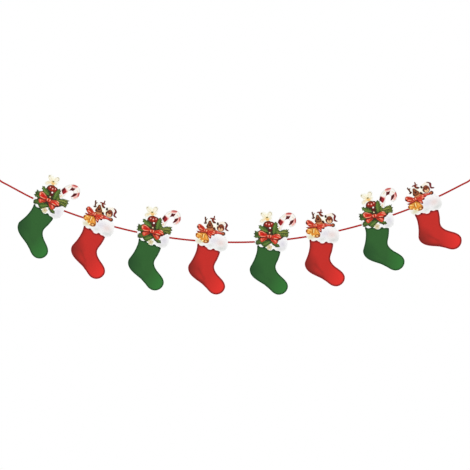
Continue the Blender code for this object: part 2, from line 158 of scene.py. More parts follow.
# Printing inks, as red, green and blue on screen from 0 to 255
INK_TABLE = """
paper 255,255,254  warm_paper 255,252,214  fur_shade 214,216,212  fur_lilac 226,222,232
fur_straw 220,214,164  fur_pink 240,222,218  tuft 234,233,236  tuft_dark 214,216,217  green_leg 43,95,40
green_toe 47,118,47  green_heel 26,70,30  green_rim 10,46,14  green_edge 18,92,26  green_corner 2,34,8
red_leg 200,40,32  red_toe 232,46,38  red_heel 122,28,18  red_rim 112,8,8  red_edge 170,20,16
red_corner 70,2,6  cane 254,251,246  cane_rim 214,214,204  cream 234,208,156  stripe 160,22,34
stripe_deep 82,4,8  pink 248,182,172  stripe_edge 196,84,82  ribbon 254,248,226  ribbon_rim 200,188,148
ribbon_deep 158,150,108  gold 250,214,142  olive 136,124,62  cap 248,196,124  thicket 50,44,20
thicket_rim 50,38,16  leaf 70,98,32  leaf_rim 20,46,12  leaf_light 104,138,58  leaf_dark 60,82,28
needle 120,146,70  vein_gold 176,172,84  sprig 104,124,44  sprig_light 138,154,66  berry_red 188,42,22
berry_rim 74,2,4  berry_light 255,190,170  maroon 84,16,8  arch 150,38,10  white 255,255,254
bead 232,214,170  bow 216,66,38  bow_rim 138,18,10  bow_deep 98,8,4  bow_pink 255,190,164
bow_glow 244,128,92  bow_bright 236,26,12  bow_cream 253,218,178  hole 72,12,6  petal 224,218,176
petal_rim 208,184,142  petal_pink 190,136,108  brown 134,64,30  brown_rim 92,42,22  brown_dark 44,12,6
antler 122,38,18  antler_dark 98,54,30  hide 158,92,50  tan 200,118,66  bear 140,62,32  bear_rim 72,26,14
bear_deep 86,30,18  paw 186,96,56  muzzle 246,198,150  muzzle_rim 212,150,108  brim 255,247,232
brim_rim 246,230,210  hat 132,16,16  hat_rim 80,6,16  scarf 204,58,46  scarf_rim 138,14,22
scarf_pale 244,142,118  bell 238,156,56  bell_rim 160,88,16  bell_deep 150,74,14  bell_bright 253,206,112
bell_pale 255,242,176
"""

# Colours that aren't ink
CARD_BACK_COLOUR = (0.80, 0.79, 0.75)
CARD_CORE_COLOUR = (0.78, 0.77, 0.73)
PATCH_COLOUR = (0.84, 0.82, 0.77)
CORD_COLOUR = (0.525, 0.008, 0.003)
# The cord's darkest fibres, also used as the painted shade in its grooves
CORD_DARK_FIBRE_AND_GROOVE_SHADE = (0.295, 0.003, 0.001)
FLOOR_COLOUR = (0.86, 0.86, 0.86)


def read_inks(text):
    """A table of inks: each name, then its red, green and blue on screen."""
    words = text.split()
    return {name: [int(value) for value in shade.split(",")] for name, shade in zip(words[::2], words[1::2])}


INKS = read_inks(INK_TABLE)


def screen_colour(ink):
    """An ink as linear light."""
    channels = [value / 255 for value in INKS[ink]]
    return np.array([c / 12.92 if c <= 0.04045 else ((c + 0.055) / 1.055) ** 2.4 for c in channels])


def read_points(text):
    """The points of an outline or a route, and whether each is a corner."""
    words = text.split()
    points = [Vector([float(number) for number in word.rstrip("!").split(",")]) for word in words]
    return points, [word.endswith("!") for word in words]


def slope_at(before, here, after):
    """The direction of a smooth curve at a point, which leans to the nearer of its two neighbours."""
    arriving = here - before
    leaving = after - here
    ratio = leaving.length / arriving.length
    return (arriving * ratio + leaving / ratio) / (arriving.length + leaving.length)


def curve_through(points, corners, closed, steps_in):
    """Points along a smooth curve through the given ones, with steps_in(length, turn) steps to a span."""
    count = len(points)
    found = []
    for index in range(count if closed else count - 1):
        start = points[index]
        end = points[(index + 1) % count]
        length = (end - start).length
        chord = (end - start) / length
        if corners[index] and corners[(index + 1) % count]:
            found.append(start)
            continue
        leave = None if corners[index] else slope_at(points[index - 1], start, end)
        arrive = None if corners[(index + 1) % count] else slope_at(start, end, points[(index + 2) % count])
        leave = leave or 1.5 * chord - 0.5 * arrive
        arrive = arrive or 1.5 * chord - 0.5 * leave
        steps = steps_in(length, leave.angle(chord) + chord.angle(arrive))
        for step in range(steps):
            t = step / steps
            at_start = start * (2 * t ** 3 - 3 * t ** 2 + 1) + leave * length * (t ** 3 - 2 * t ** 2 + t)
            at_end = end * (3 * t ** 2 - 2 * t ** 3) + arrive * length * (t ** 3 - t ** 2)
            found.append(at_start + at_end)
    return found if closed else found + [points[-1]]


def outline(text, turn):
    """A closed outline whose curves turn by no more than the given angle at a point."""
    points, corners = read_points(text)
    return curve_through(points, corners, True, lambda length, bend: max(1, math.ceil(bend / turn)))


# A mark has a ring of points, the ink of its middle, the ink and width of its rim, and a middle line or none
Mark = namedtuple("Mark", "ring ink rim width middle")

# A band's round ends: the square of its first share of the full width, and how fast that grows
ROUND_START = 0.1
ROUND_GROWTH = 6
BAND_RIM = 0.42              # how far a band's sides fade, as a share of its width
STROKE_STEPS = 14            # along a whole stroke
SPAN_STEPS = 4               # between two of its points, at the least

# A holly leaf, in shares of its length and of its half width; spines are a step apart
LEAF_ENDS = (0.04, 0.985)    # it gets no narrower beyond these
LEAF_FULLNESS = 0.6
LEAF_RIM = 1.0
STALK_SIDE = 0.15
HOLLOW = (-0.45, 0.56)       # from a spine, in steps, and out
SPINE = (0.1, 1)
TIP_HOLLOW = (0.4, 0.5)      # back from the tip, in steps, and out
LIT_HALF = ((0.06, 0.02), (0.5, 0.03), (0.92, 0.02), (0.8, 0.42), (0.55, 0.58), (0.3, 0.52))
LIT_STEPS = 3
LIT_RIM = 0.24
VEIN = ((-0.5, 0.0), (-0.1, 0.42), (0.08, 0.8))      # from a spine, in steps, and out
VEIN_WIDTH = 0.34
RIB = (0.0, 0.2, 0.4, 0.6, 0.8, 0.95)
RIB_WIDTH = 0.66
RIB_TIP = 0.4

# A berry and its two highlights, for a berry of size 1: ink, rim's ink and width, aside, up, across, high
BERRY_SPOTS = (
    ("berry_red", "berry_rim", 0.62, 0, 0, 1, 1),
    ("berry_light", "berry_red", 0.26, 1, 0.34, 0.40, 0.44),
    ("white", "berry_light", 0.1, 1, 0.40, 0.15, 0.15),
)

PETALS = 5
PETAL_PLACE = (3.1, 3.0)     # from the flower's middle, across and up
PETAL_REACH = (2.9, 2.3)
PETAL_RIM = 0.8


def numbers(word):
    """The numbers in a word, which commas part."""
    return [float(number) for number in word.split(",")]


def area(ink, rim, width, *points):
    """A shape inside an outline."""
    return [Mark(outline(" ".join(points), PRINT_TURN), ink, rim, float(width), [])]


def oval(ink, rim, width, middle, across, high, turned=0.0):
    """A round or oval mark."""
    x, y = middle
    count = max(OVAL_POINTS, math.ceil(across * OVAL_FINENESS))
    lean = math.radians(turned)
    ring = []
    for step in range(count):
        angle = math.tau * step / count
        right, up = across * math.cos(angle), high * math.sin(angle)
        ring.append(Vector((x + right * math.cos(lean) - up * math.sin(lean),
                            y + right * math.sin(lean) + up * math.cos(lean))))
    return Mark(ring, ink, rim, width, [])


def spot(ink, rim, width, middle, reach, turned=0.0):
    """A round spot, or an oval one where its reach has two numbers."""
    across, high = (numbers(reach) * 2)[:2]
    return [oval(ink, rim, float(width), numbers(middle), across, high, float(turned))]


def band(ink, rim, thick, line, tip):
    """A line of points given a width: round at its ends, and thinner by a share at the last."""
    sides = ([], [])
    for index, point in enumerate(line):
        along = (line[min(index + 1, len(line) - 1)] - line[max(index - 1, 0)]).normalized()
        share = index / (len(line) - 1)
        ends = (ROUND_START + ROUND_GROWTH * share, ROUND_START + ROUND_GROWTH * (1 - share))
        half = thick / 2 * (1 - (1 - tip) * share) * math.sqrt(min(1.0, *ends))
        sides[0].append(point + Vector((-along.y, along.x)) * half)
        sides[1].append(point - Vector((-along.y, along.x)) * half)
    width, middle = (0.0, []) if ink == rim else (thick * BAND_RIM, line[1:-1])
    return Mark(sides[0] + sides[1][::-1], ink, rim, width, middle)


def stroke(ink, rim, thick, tip, *points):
    """A brush stroke through points, whose sides fade into the rim's ink."""
    line, corners = read_points(" ".join(points))
    corners = [True] + corners[1:-1] + [True]
    steps = max(SPAN_STEPS, STROKE_STEPS // (len(line) - 1))
    line = curve_through(line, corners, False, lambda length, bend: steps)
    return [band(ink, rim, float(thick), line, float(tip))]


def holly(ink, light, vein, stalk, tip, wide, spines, bow):
    """A holly leaf: a spiny outline with a dark rim, one half lit, and a rib with a vein to every spine."""
    stalk, tip = Vector(numbers(stalk)), Vector(numbers(tip))
    wide, spines, bow = float(wide), int(spines), float(bow)
    along = tip - stalk
    across = Vector((-along.y, along.x)).normalized()

    def at(share, side):
        width = wide * math.sin(math.pi * min(max(share, LEAF_ENDS[0]), LEAF_ENDS[1])) ** LEAF_FULLNESS
        return stalk + along * share + across * (side * width + bow * 4 * share * (1 - share))

    step = 1 / (spines + 1)
    right = [at(0.0, -STALK_SIDE)]
    left = [at(0.0, STALK_SIDE)]
    for spine in range(1, spines + 1):
        for side, line in ((-1, right), (1, left)):
            line += [at((spine + ahead) * step, out * side) for ahead, out in (HOLLOW, SPINE)]
    right.append(at(1 - TIP_HOLLOW[0] * step, -TIP_HOLLOW[1]))
    left.append(at(1 - TIP_HOLLOW[0] * step, TIP_HOLLOW[1]))
    ring = right + [tip] + left[::-1]
    corners = [index % 2 == 0 for index in range(len(right))]
    corners = corners + [True] + corners[::-1]
    edge = curve_through(ring, corners, True, lambda length, bend: max(1, math.ceil(bend / PRINT_TURN)))
    lit = [at(share, side) for share, side in LIT_HALF]
    lit = curve_through(lit, [False] * len(lit), True, lambda length, bend: LIT_STEPS)
    marks = [Mark(edge, ink, "leaf_rim", LEAF_RIM, []), Mark(lit, light, ink, LIT_RIM * wide, [])]
    for spine in range(1, spines + 1):
        for side in (-1, 1):
            line = [at((spine + ahead) * step, out * side) for ahead, out in VEIN]
            marks.append(band(vein, vein, VEIN_WIDTH, line, RIB_TIP))
    marks.append(band(vein, vein, RIB_WIDTH, [at(share, 0.0) for share in RIB], RIB_TIP))
    return marks


def berry(middle, size, shine):
    """A glossy berry, with its highlight up and to one side."""
    x, y = numbers(middle)
    size, shine = float(size), float(shine)
    marks = []
    for ink, rim, width, aside, up, across, high in BERRY_SPOTS:
        place = (x + aside * shine * size, y + up * size)
        marks.append(oval(ink, rim, width * size, place, across * size, high * size))
    return marks


def flower(middle):
    """Petals in a ring."""
    x, y = numbers(middle)
    marks = []
    for petal in range(PETALS):
        turned = 90 + 360 / PETALS * petal
        angle = math.radians(turned)
        place = (x + PETAL_PLACE[0] * math.cos(angle), y + PETAL_PLACE[1] * math.sin(angle))
        marks.append(oval("petal", "petal_rim", PETAL_RIM, place, *PETAL_REACH, turned))
    return marks


MAKERS = {"area": area, "spot": spot, "stroke": stroke, "holly": holly, "berry": berry, "flower": flower}


def read_marks(text):
    """The marks of an artwork table. Each row starts with the name of what it makes."""
    rows = []
    for word in text.split():
        if word in MAKERS:
            rows.append([])
        rows[-1].append(word)
    return [mark for kind, *words in rows for mark in MAKERS[kind](*words)]


# Fur on the cuff
TUFT_ROWS = 7
TUFT_COLUMNS = 14
TUFT_START = (-33, 3.5)
TUFT_STEP = (5.0, 4.6)
TUFT_FAN = 1.9               # degrees for each unit from the cuff's middle
TUFT_SWAY = 38               # degrees
CUFF_MIDDLE = -2
TUFT_LENGTH = 3.6
TUFT_CURL = 2.2
TUFT_WIDTH = 0.6
TUFT_TIP = 0.2
TUFT_WAVE = (12.9, 78.2)     # the wave that turns, moves and darkens the curls, across and up
SIDE_WAVE = (5.1, 3.3)       # the wave that picks the side they curl to
TUFT_SHIFT = (0.9, 0.7)
SHIFT_WAVE = 7
TUFT_SWELL = 0.15            # added to the width where the wave is highest
DARK_FROM = 0.25             # curls are dark where the wave is above this


def tufts():
    """Curls of fur all over the cuff, which fan out from its middle. Waves keep them irregular."""
    marks = []
    for row in range(TUFT_ROWS):
        for column in range(TUFT_COLUMNS):
            x = TUFT_START[0] + TUFT_STEP[0] * column + TUFT_STEP[0] / 2 * (row % 2)
            y = TUFT_START[1] + TUFT_STEP[1] * row
            wave = math.sin(TUFT_WAVE[0] * x + TUFT_WAVE[1] * y)
            side = math.copysign(1.0, math.sin(SIDE_WAVE[0] * x - SIDE_WAVE[1] * y))
            fan = math.radians(-90 + TUFT_FAN * (x - CUFF_MIDDLE) + TUFT_SWAY * wave)
            along = Vector((math.cos(fan), math.sin(fan)))
            across = Vector((-along.y, along.x)) * side
            start = Vector((x + TUFT_SHIFT[0] * wave, y + TUFT_SHIFT[1] * math.cos(SHIFT_WAVE * x)))
            line = [start + along * (TUFT_LENGTH * t) + across * (TUFT_CURL * t * (1 - t))
                    for t in (0.0, 0.25, 0.5, 0.75, 1.0)]
            ink = "tuft_dark" if wave > DARK_FROM else "tuft"
            marks.append(band(ink, ink, TUFT_WIDTH + TUFT_SWELL * wave, line, TUFT_TIP))
    return marks


# Artwork tables, from the bottom mark up, in the outlines' units. What the words of a row say:
# area: ink, rim's ink, rim's width, points of its outline, with ! at a corner
# spot: ink, rim's ink, rim's width, middle, reach across and up, degrees turned
# stroke: ink, rim's ink, width, share of the width at its end, points of its line
# holly: ink, lit half's ink, veins' ink, stalk, tip, half width, spines to a side, bow
# berry: middle, radius, how far its highlight is to the right
# flower: middle

# Green card: holly with berries, a bow, a gold ribbon, a flower and a candy cane
CANDY_CANE = """
area cane cane_rim 1.6 8.6,43.6! 10,50 11,56 11.3,60.5 14.6,66.6 20.2,72.8 27,77.4 34,79.1 40.4,77.7
  45.2,73.2 47.9,67 48.3,61 46.3,55.4 42.6,51.6 38.5,50 35.2,51.2 33.9,53.8 35.3,56.8 36.4,60.5 34.9,64.4
  30.8,66.4 26.4,64.3 24.5,60 22.2,54.2 19.6,48.6 17.8,43.6!
stroke cream cane 2.8 0.6 21.4,68.2 26.6,72.8 28,73.6
stroke cream cane 2.4 0.6 39.4,70.6 42.6,67.6 43.6,65.8
stroke cream cane 5.6 0.8 13,44.4 15,48 15.6,51.4
area pink cane 0.9 16.4,67.4! 20.6,64.6 25.2,62! 24.4,58.6! 21.2,55.4 17.4,51.6! 17,58
area stripe stripe_edge 0.6 15.8,66.8! 19,63.6 22.4,60.4! 21.4,57! 19.6,54.4 17.4,52! 14.6,54.8 11.4,59.4!
  13.2,63
area stripe_deep stripe 1 15.6,66.6! 17.6,64.4 18,61.4 16,59 16.6,55.4 17,52.8! 14.6,55 11.5,59.4! 13,62.8
area pink cane 0.9 26.6,77.2! 26.6,74.6 28.4,72.4! 33,72.6 37.6,72.6! 39.2,75 40.8,77.3! 34,79
area stripe_edge pink 0.5 27.9,77.7! 28.2,75.9! 33.5,75.3 39,75.5! 40.3,77.7! 34,79.1
area stripe_deep stripe 0.8 26.2,64.2! 27.6,67.6 29,72.4! 33,71.8 37.2,72.2! 35.4,69 33.6,65.8! 30,65.6
stroke stripe stripe_deep 1.6 0.6 31.6,70.6 32.4,67.4
area pink cane 0.9 41.4,65.2! 45.6,67.2! 47.6,61.4 45.2,55.2 40.6,52 37.6,52.8! 40.2,56.6 42.2,60
area stripe_deep stripe 0.8 33.2,53.6! 35.2,57.6 36.8,62! 39.6,63.4 43.8,64.6! 42.8,60.4 40.4,56.8 36.8,54.2
area stripe_edge stripe 0.5 45.6,68.4! 47.7,66.8! 48.2,61 46.9,57! 45.5,60.5 45.2,64.8
"""
GOLD_RIBBON = """
area ribbon ribbon_rim 0.7 -11,68.6! -14.6,72.4 -17.6,76 -19.6,78.8 -22.2,77.8 -22.2,74.6 -18.8,71
  -14.6,68.6
area ribbon ribbon_rim 0.7 -9.4,69.2! -8.6,74 -7.2,78.4 -4,80.6 -1,79 -0.2,75.4 -2.6,71.8 -6,69.6
area ribbon ribbon_rim 0.7 -11.6,67 -16,67 -20.4,65.6 -23.4,62.8 -23.4,60 -20.6,58.8 -17,60.6 -13.2,64
area ribbon ribbon_rim 0.7 -8.4,67.6! -5,68.8 -2.2,69 -0.8,67.4 -2.8,65.2 -5.4,64.4
stroke ribbon_deep ribbon_rim 1.7 0.8 -19.4,78.2 -21.2,77.2 -21.2,74.8
stroke ribbon_deep ribbon_rim 1.2 0.5 -6,79.2 -3.8,79.9 -1.4,78.2 -1,75 -2.8,72.6
stroke ribbon_rim ribbon 1.2 0.6 -16,66.2 -19.6,64.9 -22.5,62.4 -21.6,60
stroke ribbon_rim ribbon 1 0.6 -19.4,69.6 -16.6,69.9 -13.6,69.4
spot gold ribbon 2.6 -9.8,67 6.4,3.6 -8
stroke gold ribbon 1.8 0.5 -10.8,69.2 -13.8,72 -16.2,75
stroke gold ribbon 1.6 0.5 -9,69.6 -7.8,73.4 -6,76.8
stroke gold ribbon 2.8 0.8 -12.4,65.8 -16,64.4 -20.4,61.6
spot cap gold 1.4 -9.2,64.6 3.6,2.4 -10
spot olive ribbon_deep 0.8 -9.9,69 2.3,1.6 12
"""
FOLIAGE = """
area thicket thicket_rim 1.6 -18.6,50 -16.6,57.6 -12.3,61.2 -8.5,62.1 -4.8,62.3 -2.2,60.8 1.6,60.2 5.4,56
  8,48 14,42 20,40 25,33 22.6,28.6 19,26 14,24 11,18 5,15.6 -1,17 -8,14 -18,14.8 -25,17 -31,21 -27.6,26.6
  -31,30 -32,36 -27,42 -22,45
area arch thicket 1.6 -16.8,55.4 -13.8,59.8 -10.4,61.5 -8.6,61.4 -6.4,62 -2.6,60.8 1.6,59.8 4,57 4,53
  1.4,49.6 -6,48.4 -12,49.6 -15.6,51.6
area leaf_dark leaf_rim 1.2 -35.2,42.4! -31.2,38.6 -27.4,38.8 -20,38 -17,33 -24,28.6 -30,29.4 -37,31!
  -34.4,34 -37,36.8! -34.4,38.4
area sprig leaf_rim 1.4 8,38 8.8,45.4 12,47! 15,42.8 19.4,42 22.4,45.4! 24.8,41.8 27.6,42.2 33.8,45.6!
  32,41.6 35.4,38.6! 32.2,36.4 34.4,32.4! 31.4,30.6 32.2,28.8! 26,30.4 19,30 12,32
area leaf_dark leaf_rim 1.2 -33.8,24.4! -30,22 -26,23.8 -20,23 -15,19 -19.4,13.2! -24,15.6 -28.2,14
  -33.4,16.2! -31.4,19.6
area thicket leaf_rim 1.2 0,18 6.4,16.4 11,15.2 15.6,12.6! 13.2,11 13.6,8.8! 10.4,10.2 8,8.2! 6.4,11
  2.4,13.4
area leaf leaf_dark 2.4 -20.6,14.8 -14,16.6 -8,16.4 -6.4,13.4 -10,10.6 -12.8,9.2! -15.4,10.4 -17.8,11.2!
  -19.6,12.4
"""
HOLLY = """
holly leaf_dark leaf needle -16,34.2 -37.2,31.2 4.9 3 1
holly leaf_dark leaf needle -17,36 -34.8,42.4 4.2 3 0.6
holly leaf_dark leaf needle -11,22 -33.8,19.4 6.8 4 -0.4
holly leaf leaf_light needle -7,40 -27.6,53.4 6.5 4 0.8
holly leaf leaf_light needle 3,35 7.8,61 7.4 5 -0.9
holly leaf_dark sprig vein_gold 10,39 34.4,45 4 4 -0.8
holly leaf_dark sprig vein_gold 12,36 32.8,29.8 4.6 4 1.2
holly leaf_dark sprig_light vein_gold 10,38 35.4,38.2 4.6 5 0.6
holly leaf_dark leaf needle -2,19.2 16.2,9.8 5 3 0.6
holly leaf leaf_light needle -1.6,20.6 -20,12.8 5.4 3 -1.4
spot leaf_rim leaf 0.8 -4.1,18 1.5,1.2
"""
BERRIES = """
berry -11.2,55.2 3.9 0
berry -1,55.5 3.7 0.12
berry -6,53.6 4.5 0.06
spot maroon berry_rim 1.5 -3.8,44.8 3.8,4.6
spot white berry_light 0.4 -3.8,48 1.8
spot bead bell_rim 0.5 -4.7,38.5 1.7
"""
GREEN_BOW = """
area bow bow_rim 1 -9.6,27.6! -16,28.6 -22,28.2 -24.4,25.8 -23.4,22.6 -20.8,19.4! -17.6,20.6 -13.6,23.2
  -9.8,25.6
stroke bow_deep bow_rim 1.5 0.5 -10.6,26.8 -14.6,25.4 -17.8,22.6
stroke bow_pink bow 2.4 0.7 -21.2,27 -20.6,24.8 -20,21.8
stroke bow_glow bow 1.2 0.6 -16.2,27.6 -17.6,25.6 -18.6,23.4
area bow bow_rim 1 -3.5,27.4! 2,26.8 7.5,25.2 11,22.6! 11.8,18.4! 9,17 6.5,14.8! 3.4,17.2 0.2,20.5 -2.5,24
stroke bow_deep bow_rim 1.4 0.5 -1.6,26.4 1.4,23.4 4.2,18.4
stroke bow_glow bow 1.4 0.5 0.6,26.2 3.8,23.2 6.2,18.6
stroke bow_pink bow 2.2 0.6 4.4,24.6 7,21.6 8.8,18.4
area bow_deep bow_deep 0 -23,29.6 -16,30.4 -9,29.8 -1,29 7,28.2 14,26.6 15.4,24.2 9,23.8 2,24.8 -5,26.6
  -12,27.8 -20,28.2
stroke bow bow_rim 1.3 0.7 -17,29.1 -6,28.2 4,26.4 11,24.8
area bow bow_rim 1.3 -27.4,37.8 -26.4,41 -23.2,42.8 -19,42 -14.4,39.4 -9.8,36 -9.2,32 -12,30 -18,29.8
  -23.4,30.8 -26.6,33.8
stroke bow_rim bow_rim 1.5 0.6 -23.2,40 -19.4,39.6 -14.6,37.4 -10.4,34.6
area bow_bright bow_rim 1 -22.8,36 -19.8,38 -15.4,36.8 -11.2,33.8 -14.4,32.8 -19,32.8 -22.2,34
area bow_rim bow_bright 0.8 -20.6,35.4 -17.8,36.4 -14.2,34.8 -17,33.8
stroke bow_pink bow_glow 3.2 0.6 -25.6,39.8 -25.3,37.2 -24.4,34.2
stroke bow_pink bow_glow 1.9 0.4 -24.6,41.4 -20.6,41.2 -16.2,38.9 -12,36.4
stroke bow_pink bow_glow 1.8 0.5 -23.8,32.2 -18.8,31.1 -12.4,31.6
area bow bow_rim 1.3 -0.5,32.8 3,34.4 7.6,35.9 12.4,36.2 15.8,34.4 17.6,31 18.8,27.4 17.4,24.6 13.6,24.2
  11.6,25.8 7.4,26.8 -0.4,28.2
stroke bow_glow bow 1.5 0.5 3,32.4 8.4,34.2 12.4,34.2
stroke bow_rim bow_rim 1 0.5 2.4,31.6 8.2,32.9 13.2,32.2
area bow_bright bow 1 1.4,30.6 6,31.8 10.8,31 13.4,29.4 9.4,28.2 3.6,28.6
stroke bow_deep bow_bright 1 0.5 1.4,29.8 5.4,29.9 9.4,29.7
area hole bow_deep 0.7 12.4,26.8 15.2,27.8 18.4,27.2 17.4,24.8 13.8,24.4
stroke bow_pink bow_glow 1.5 0.6 9,32 12.4,31.4 14.8,30
stroke bow_cream bow_glow 2.2 0.6 11.2,35.2 14.2,34.6 16,32.8
stroke bow_pink bow_glow 2.2 0.7 13.6,30.2 15.6,29.6 17.2,28.6
stroke bow_cream bow_glow 1.6 0.6 3.2,27.8 7.8,27.2 11.6,26
area bow bow_deep 1.1 -9.2,33.8 -6.4,34.9 -3,34.7 -0.6,33.2 -0.4,29.8 -3,27.4 -7,27.6 -9.4,30.2
stroke bow_pink bow_glow 2.6 0.6 -7.9,33.8 -8.1,31.8 -7.5,29.4
stroke bow_pink bow_glow 2.6 0.6 -2.6,33.8 -2.3,31.8 -2.9,29.4
stroke bow_deep bow_rim 1.5 0.7 -5.3,32.6 -5.4,30.6 -5.2,28
"""
FLOWER = """
flower -5.2,9.4
stroke petal_pink petal_rim 1 0.6 -2.8,12.2 -1.2,11.6 -0.6,9.8
spot petal_pink petal_rim 0.8 -5.2,9.6 1.8,1.5
spot gold petal_pink 0.4 -5.2,9.8 0.8
"""
GREEN_ART = CANDY_CANE + GOLD_RIBBON + FOLIAGE + HOLLY + BERRIES + GREEN_BOW + FLOWER

# Red card: a bow, two bells, a reindeer and a teddy bear in a bobble hat
REINDEER = """
stroke antler_dark antler_dark 3.8 0.5 -15.6,57 -16.3,60.2 -15.4,62.6 -12.6,64.8
stroke antler_dark antler_dark 3.2 0.9 -15.8,61.4 -17.2,64.4 -17,68.6
stroke antler antler 4.8 0.8 2.6,57.4 -0.8,59.8 -2.4,62.8 -1.6,65.6
stroke antler antler 4 0.5 0.2,64.8 -3.8,65.6 -8.2,66
stroke antler antler 3.8 0.5 -2,65.4 0.8,64.7 3.6,64
stroke antler antler 2.9 0.8 -0.4,64.8 0.4,67.8 0.6,71.6
spot brown_dark antler 0.8 -16.2,55.8 3.4,1.8 10
spot brown_dark antler 0.8 2.2,57.7 2.9,1.7 -16
area tan brown 1.8 -14.2,42.2 -13.6,45.4 -11.4,47.2 -6,47.8 -0.8,48 2,48.8 4.4,45.8 5.2,42.2 2,40.2 -10.4,41
stroke muzzle_rim tan 1.8 0.7 -9.4,45 -5.6,43.8 -1.8,45.2
stroke brown brown 1.2 0.6 -12.6,44.4 -9,42.6
stroke brown brown 1.2 0.6 -2,43.4 1.2,44.8
area brown brown_rim 2 -10.8,58.2 -9.9,60.4 -7.9,61.4 -5.7,60.8 -4.1,58 -2,53.8 -0.4,50.8 -0.4,48 -3.2,46.2
  -7.4,45.6 -11.2,46 -13.8,47.2 -14.2,50.2 -12.8,53.4 -11.4,56
spot hide brown 1.7 -7.2,50.5 4.6,3.7
spot hide brown 0.9 -7.2,57.4 1.6,2.3
spot brown_dark brown_rim 0.7 -7.3,51.8 2.4,2
spot hide brown_dark 0.3 -7.8,52.5 0.5,0.35
spot brown_dark brown_dark 0 -9.7,55.3 0.8,1
spot brown_dark brown_dark 0 -5,55.3 0.8,1
stroke brown_rim brown_rim 0.7 0.8 -10,48.9 -7.4,47.8 -4.6,48.9
spot brown_dark brown_rim 1 -12.8,48.8 1.6,2.2 20
spot brown_dark brown_rim 1 2.2,45.4 3.1,2.1 -38
"""
TEDDY_BEAR = """
area brim brim_rim 0.8 8.6,57.2 10.6,59.2 15.4,60.4 20.4,61 24.2,59.8 25.4,56.8 23.4,54.8 18.4,55.8
  14.4,56.2 11.2,54.8
stroke hat hat_rim 4.4 0.4 26.4,51 27,54.4 24.9,57.8 21.2,60.3
stroke hat hat_rim 4.9 0.6 26.4,56.8 26.8,53.6 25.3,50.2 24.8,46.9 27,44.8 31,43.3
stroke pink paper 1.6 0.6 22.6,52.6 23,50 23.2,47.4
spot brown_dark bear_rim 0.8 8.3,55.8 2.2,3.1 10
stroke brown_dark bear_rim 2.2 0.7 8.6,51 8,47.4 9.4,43.4
area bear bear_rim 1.6 8.6,46 8.9,50.6 10.8,54 14.4,55.8 18.4,55.2 20.9,52.2 21.9,48.4 21.2,44 18.2,41
  14,40.3 10.6,41.6
stroke hide bear 1.8 0.6 12,53.2 15.2,54.2 18.8,52.6
stroke bear_deep bear 1.5 0.6 10.6,51.8 12.6,52.2 14.4,51
stroke bear_deep bear 1.5 0.6 15.4,51 17.4,51.8 19.6,50.8
area muzzle muzzle_rim 1 10.2,47 11.4,48.4 13.4,47.9 16.6,48 18.8,46.3 19,43.4 15.6,41.3 11.8,42
spot brown_dark bear_rim 0.3 11.9,50.7 1.1
spot brown_dark bear_rim 0.3 17.7,50.3 1.1
spot hide hide 0 11.6,51.1 0.28
spot hide hide 0 17.4,50.7 0.28
spot brown_dark bear_rim 0.4 14.6,47.6 1.8,1.3
stroke bear_rim bear_rim 0.7 0.8 12.6,44.8 14.6,43.8 16.9,44.6
stroke bear_rim bear_rim 0.9 0.8 14.6,47 14.6,44.2
stroke bear_deep bear_rim 1.6 0.6 21.3,49 21.4,46 19.8,43.2
spot brown_dark hat_rim 1.2 20.8,36.8 4.1,3.9
area scarf scarf_rim 1.6 3.6,41.4 7,43 10.2,41.3 14,39.9 18.2,39.7 20.6,38.5 18,34.4 12.6,35.4 9,35.6
  6.2,34.6 3.4,36.4
stroke scarf_pale scarf 3.2 0.6 7,39.8 11.4,38.9 16,38.1
spot paw bear_deep 1.5 20,37.2 3.2,2.9
"""
BELLS = """
area bell bell_rim 1.2 -34.6,31.4 -33,34 -28.6,36.2 -23,36.4 -16.4,37.4 -12.2,33.6 -8.6,28.6 -6.6,23 -7,18.8
  -10.4,15.8 -16,15.8 -20,17.6 -24,21.6 -30,24.8 -33.2,27
area bell bell_rim 1.6 -34.6,31.4 -33.2,34 -29.8,35.8 -24.5,35.8 -20.8,33.6 -20.8,30 -22.8,26.8 -26,24.8
  -29.8,24.8 -33.2,26.8
spot bell_deep bell_rim 1 -32.6,31.2 1.6,3.2 14
stroke bell_deep bell 1.7 0.6 -31.8,28.2 -28.4,26 -24.4,26.4
spot bell_bright bell 1.2 -30.2,29.2 2,1.9
stroke bell_pale bell_bright 2.2 0.6 -29.6,33.8 -26.8,33.4 -24.6,31.6
stroke bell_deep bell 1.6 0.6 -24.6,30.6 -24.8,28.4 -26.2,26.8
stroke bell_bright bell 1.8 0.5 -22.8,33.6 -22.4,30.6 -23.4,28
spot bell_pale bell_bright 0.7 -25.9,23.9 1.8
area bell bell_rim 1.6 -19.8,34.6 -16.2,35.4 -12.6,31.8 -9.2,26 -7,20.8 -7.4,17.4 -10.4,15.8 -15,15.8
  -18.2,17.6 -20.8,20 -21.8,22.8 -21,27
stroke bell_deep bell_rim 1.5 0.6 -20.4,33 -20.9,28 -21,24
stroke bell_pale bell_bright 2.6 0.6 -17.6,34 -18.6,29.8 -19.6,25
stroke bell_deep bell 1.8 0.5 -16.4,32.6 -16.8,28.4 -17.4,24
stroke bell_bright bell 3.2 0.6 -13.9,31.2 -12.6,27.2 -10.8,23.4
spot bell_pale bell_bright 0.7 -19.9,20 2
area bell_deep bell_rim 0.9 -17.4,19.6 -15.2,16.4 -9.8,16.2 -7.4,18.4 -8.2,21.2 -12,22.4 -15.8,22
spot cap bell_deep 1.3 -13.1,19.2 2.8,2.4
spot bell_bright cap 0.6 -13.3,19.6 1.2
spot brown_rim bell_rim 0.8 -8.9,19.2 1.3,1.9
"""
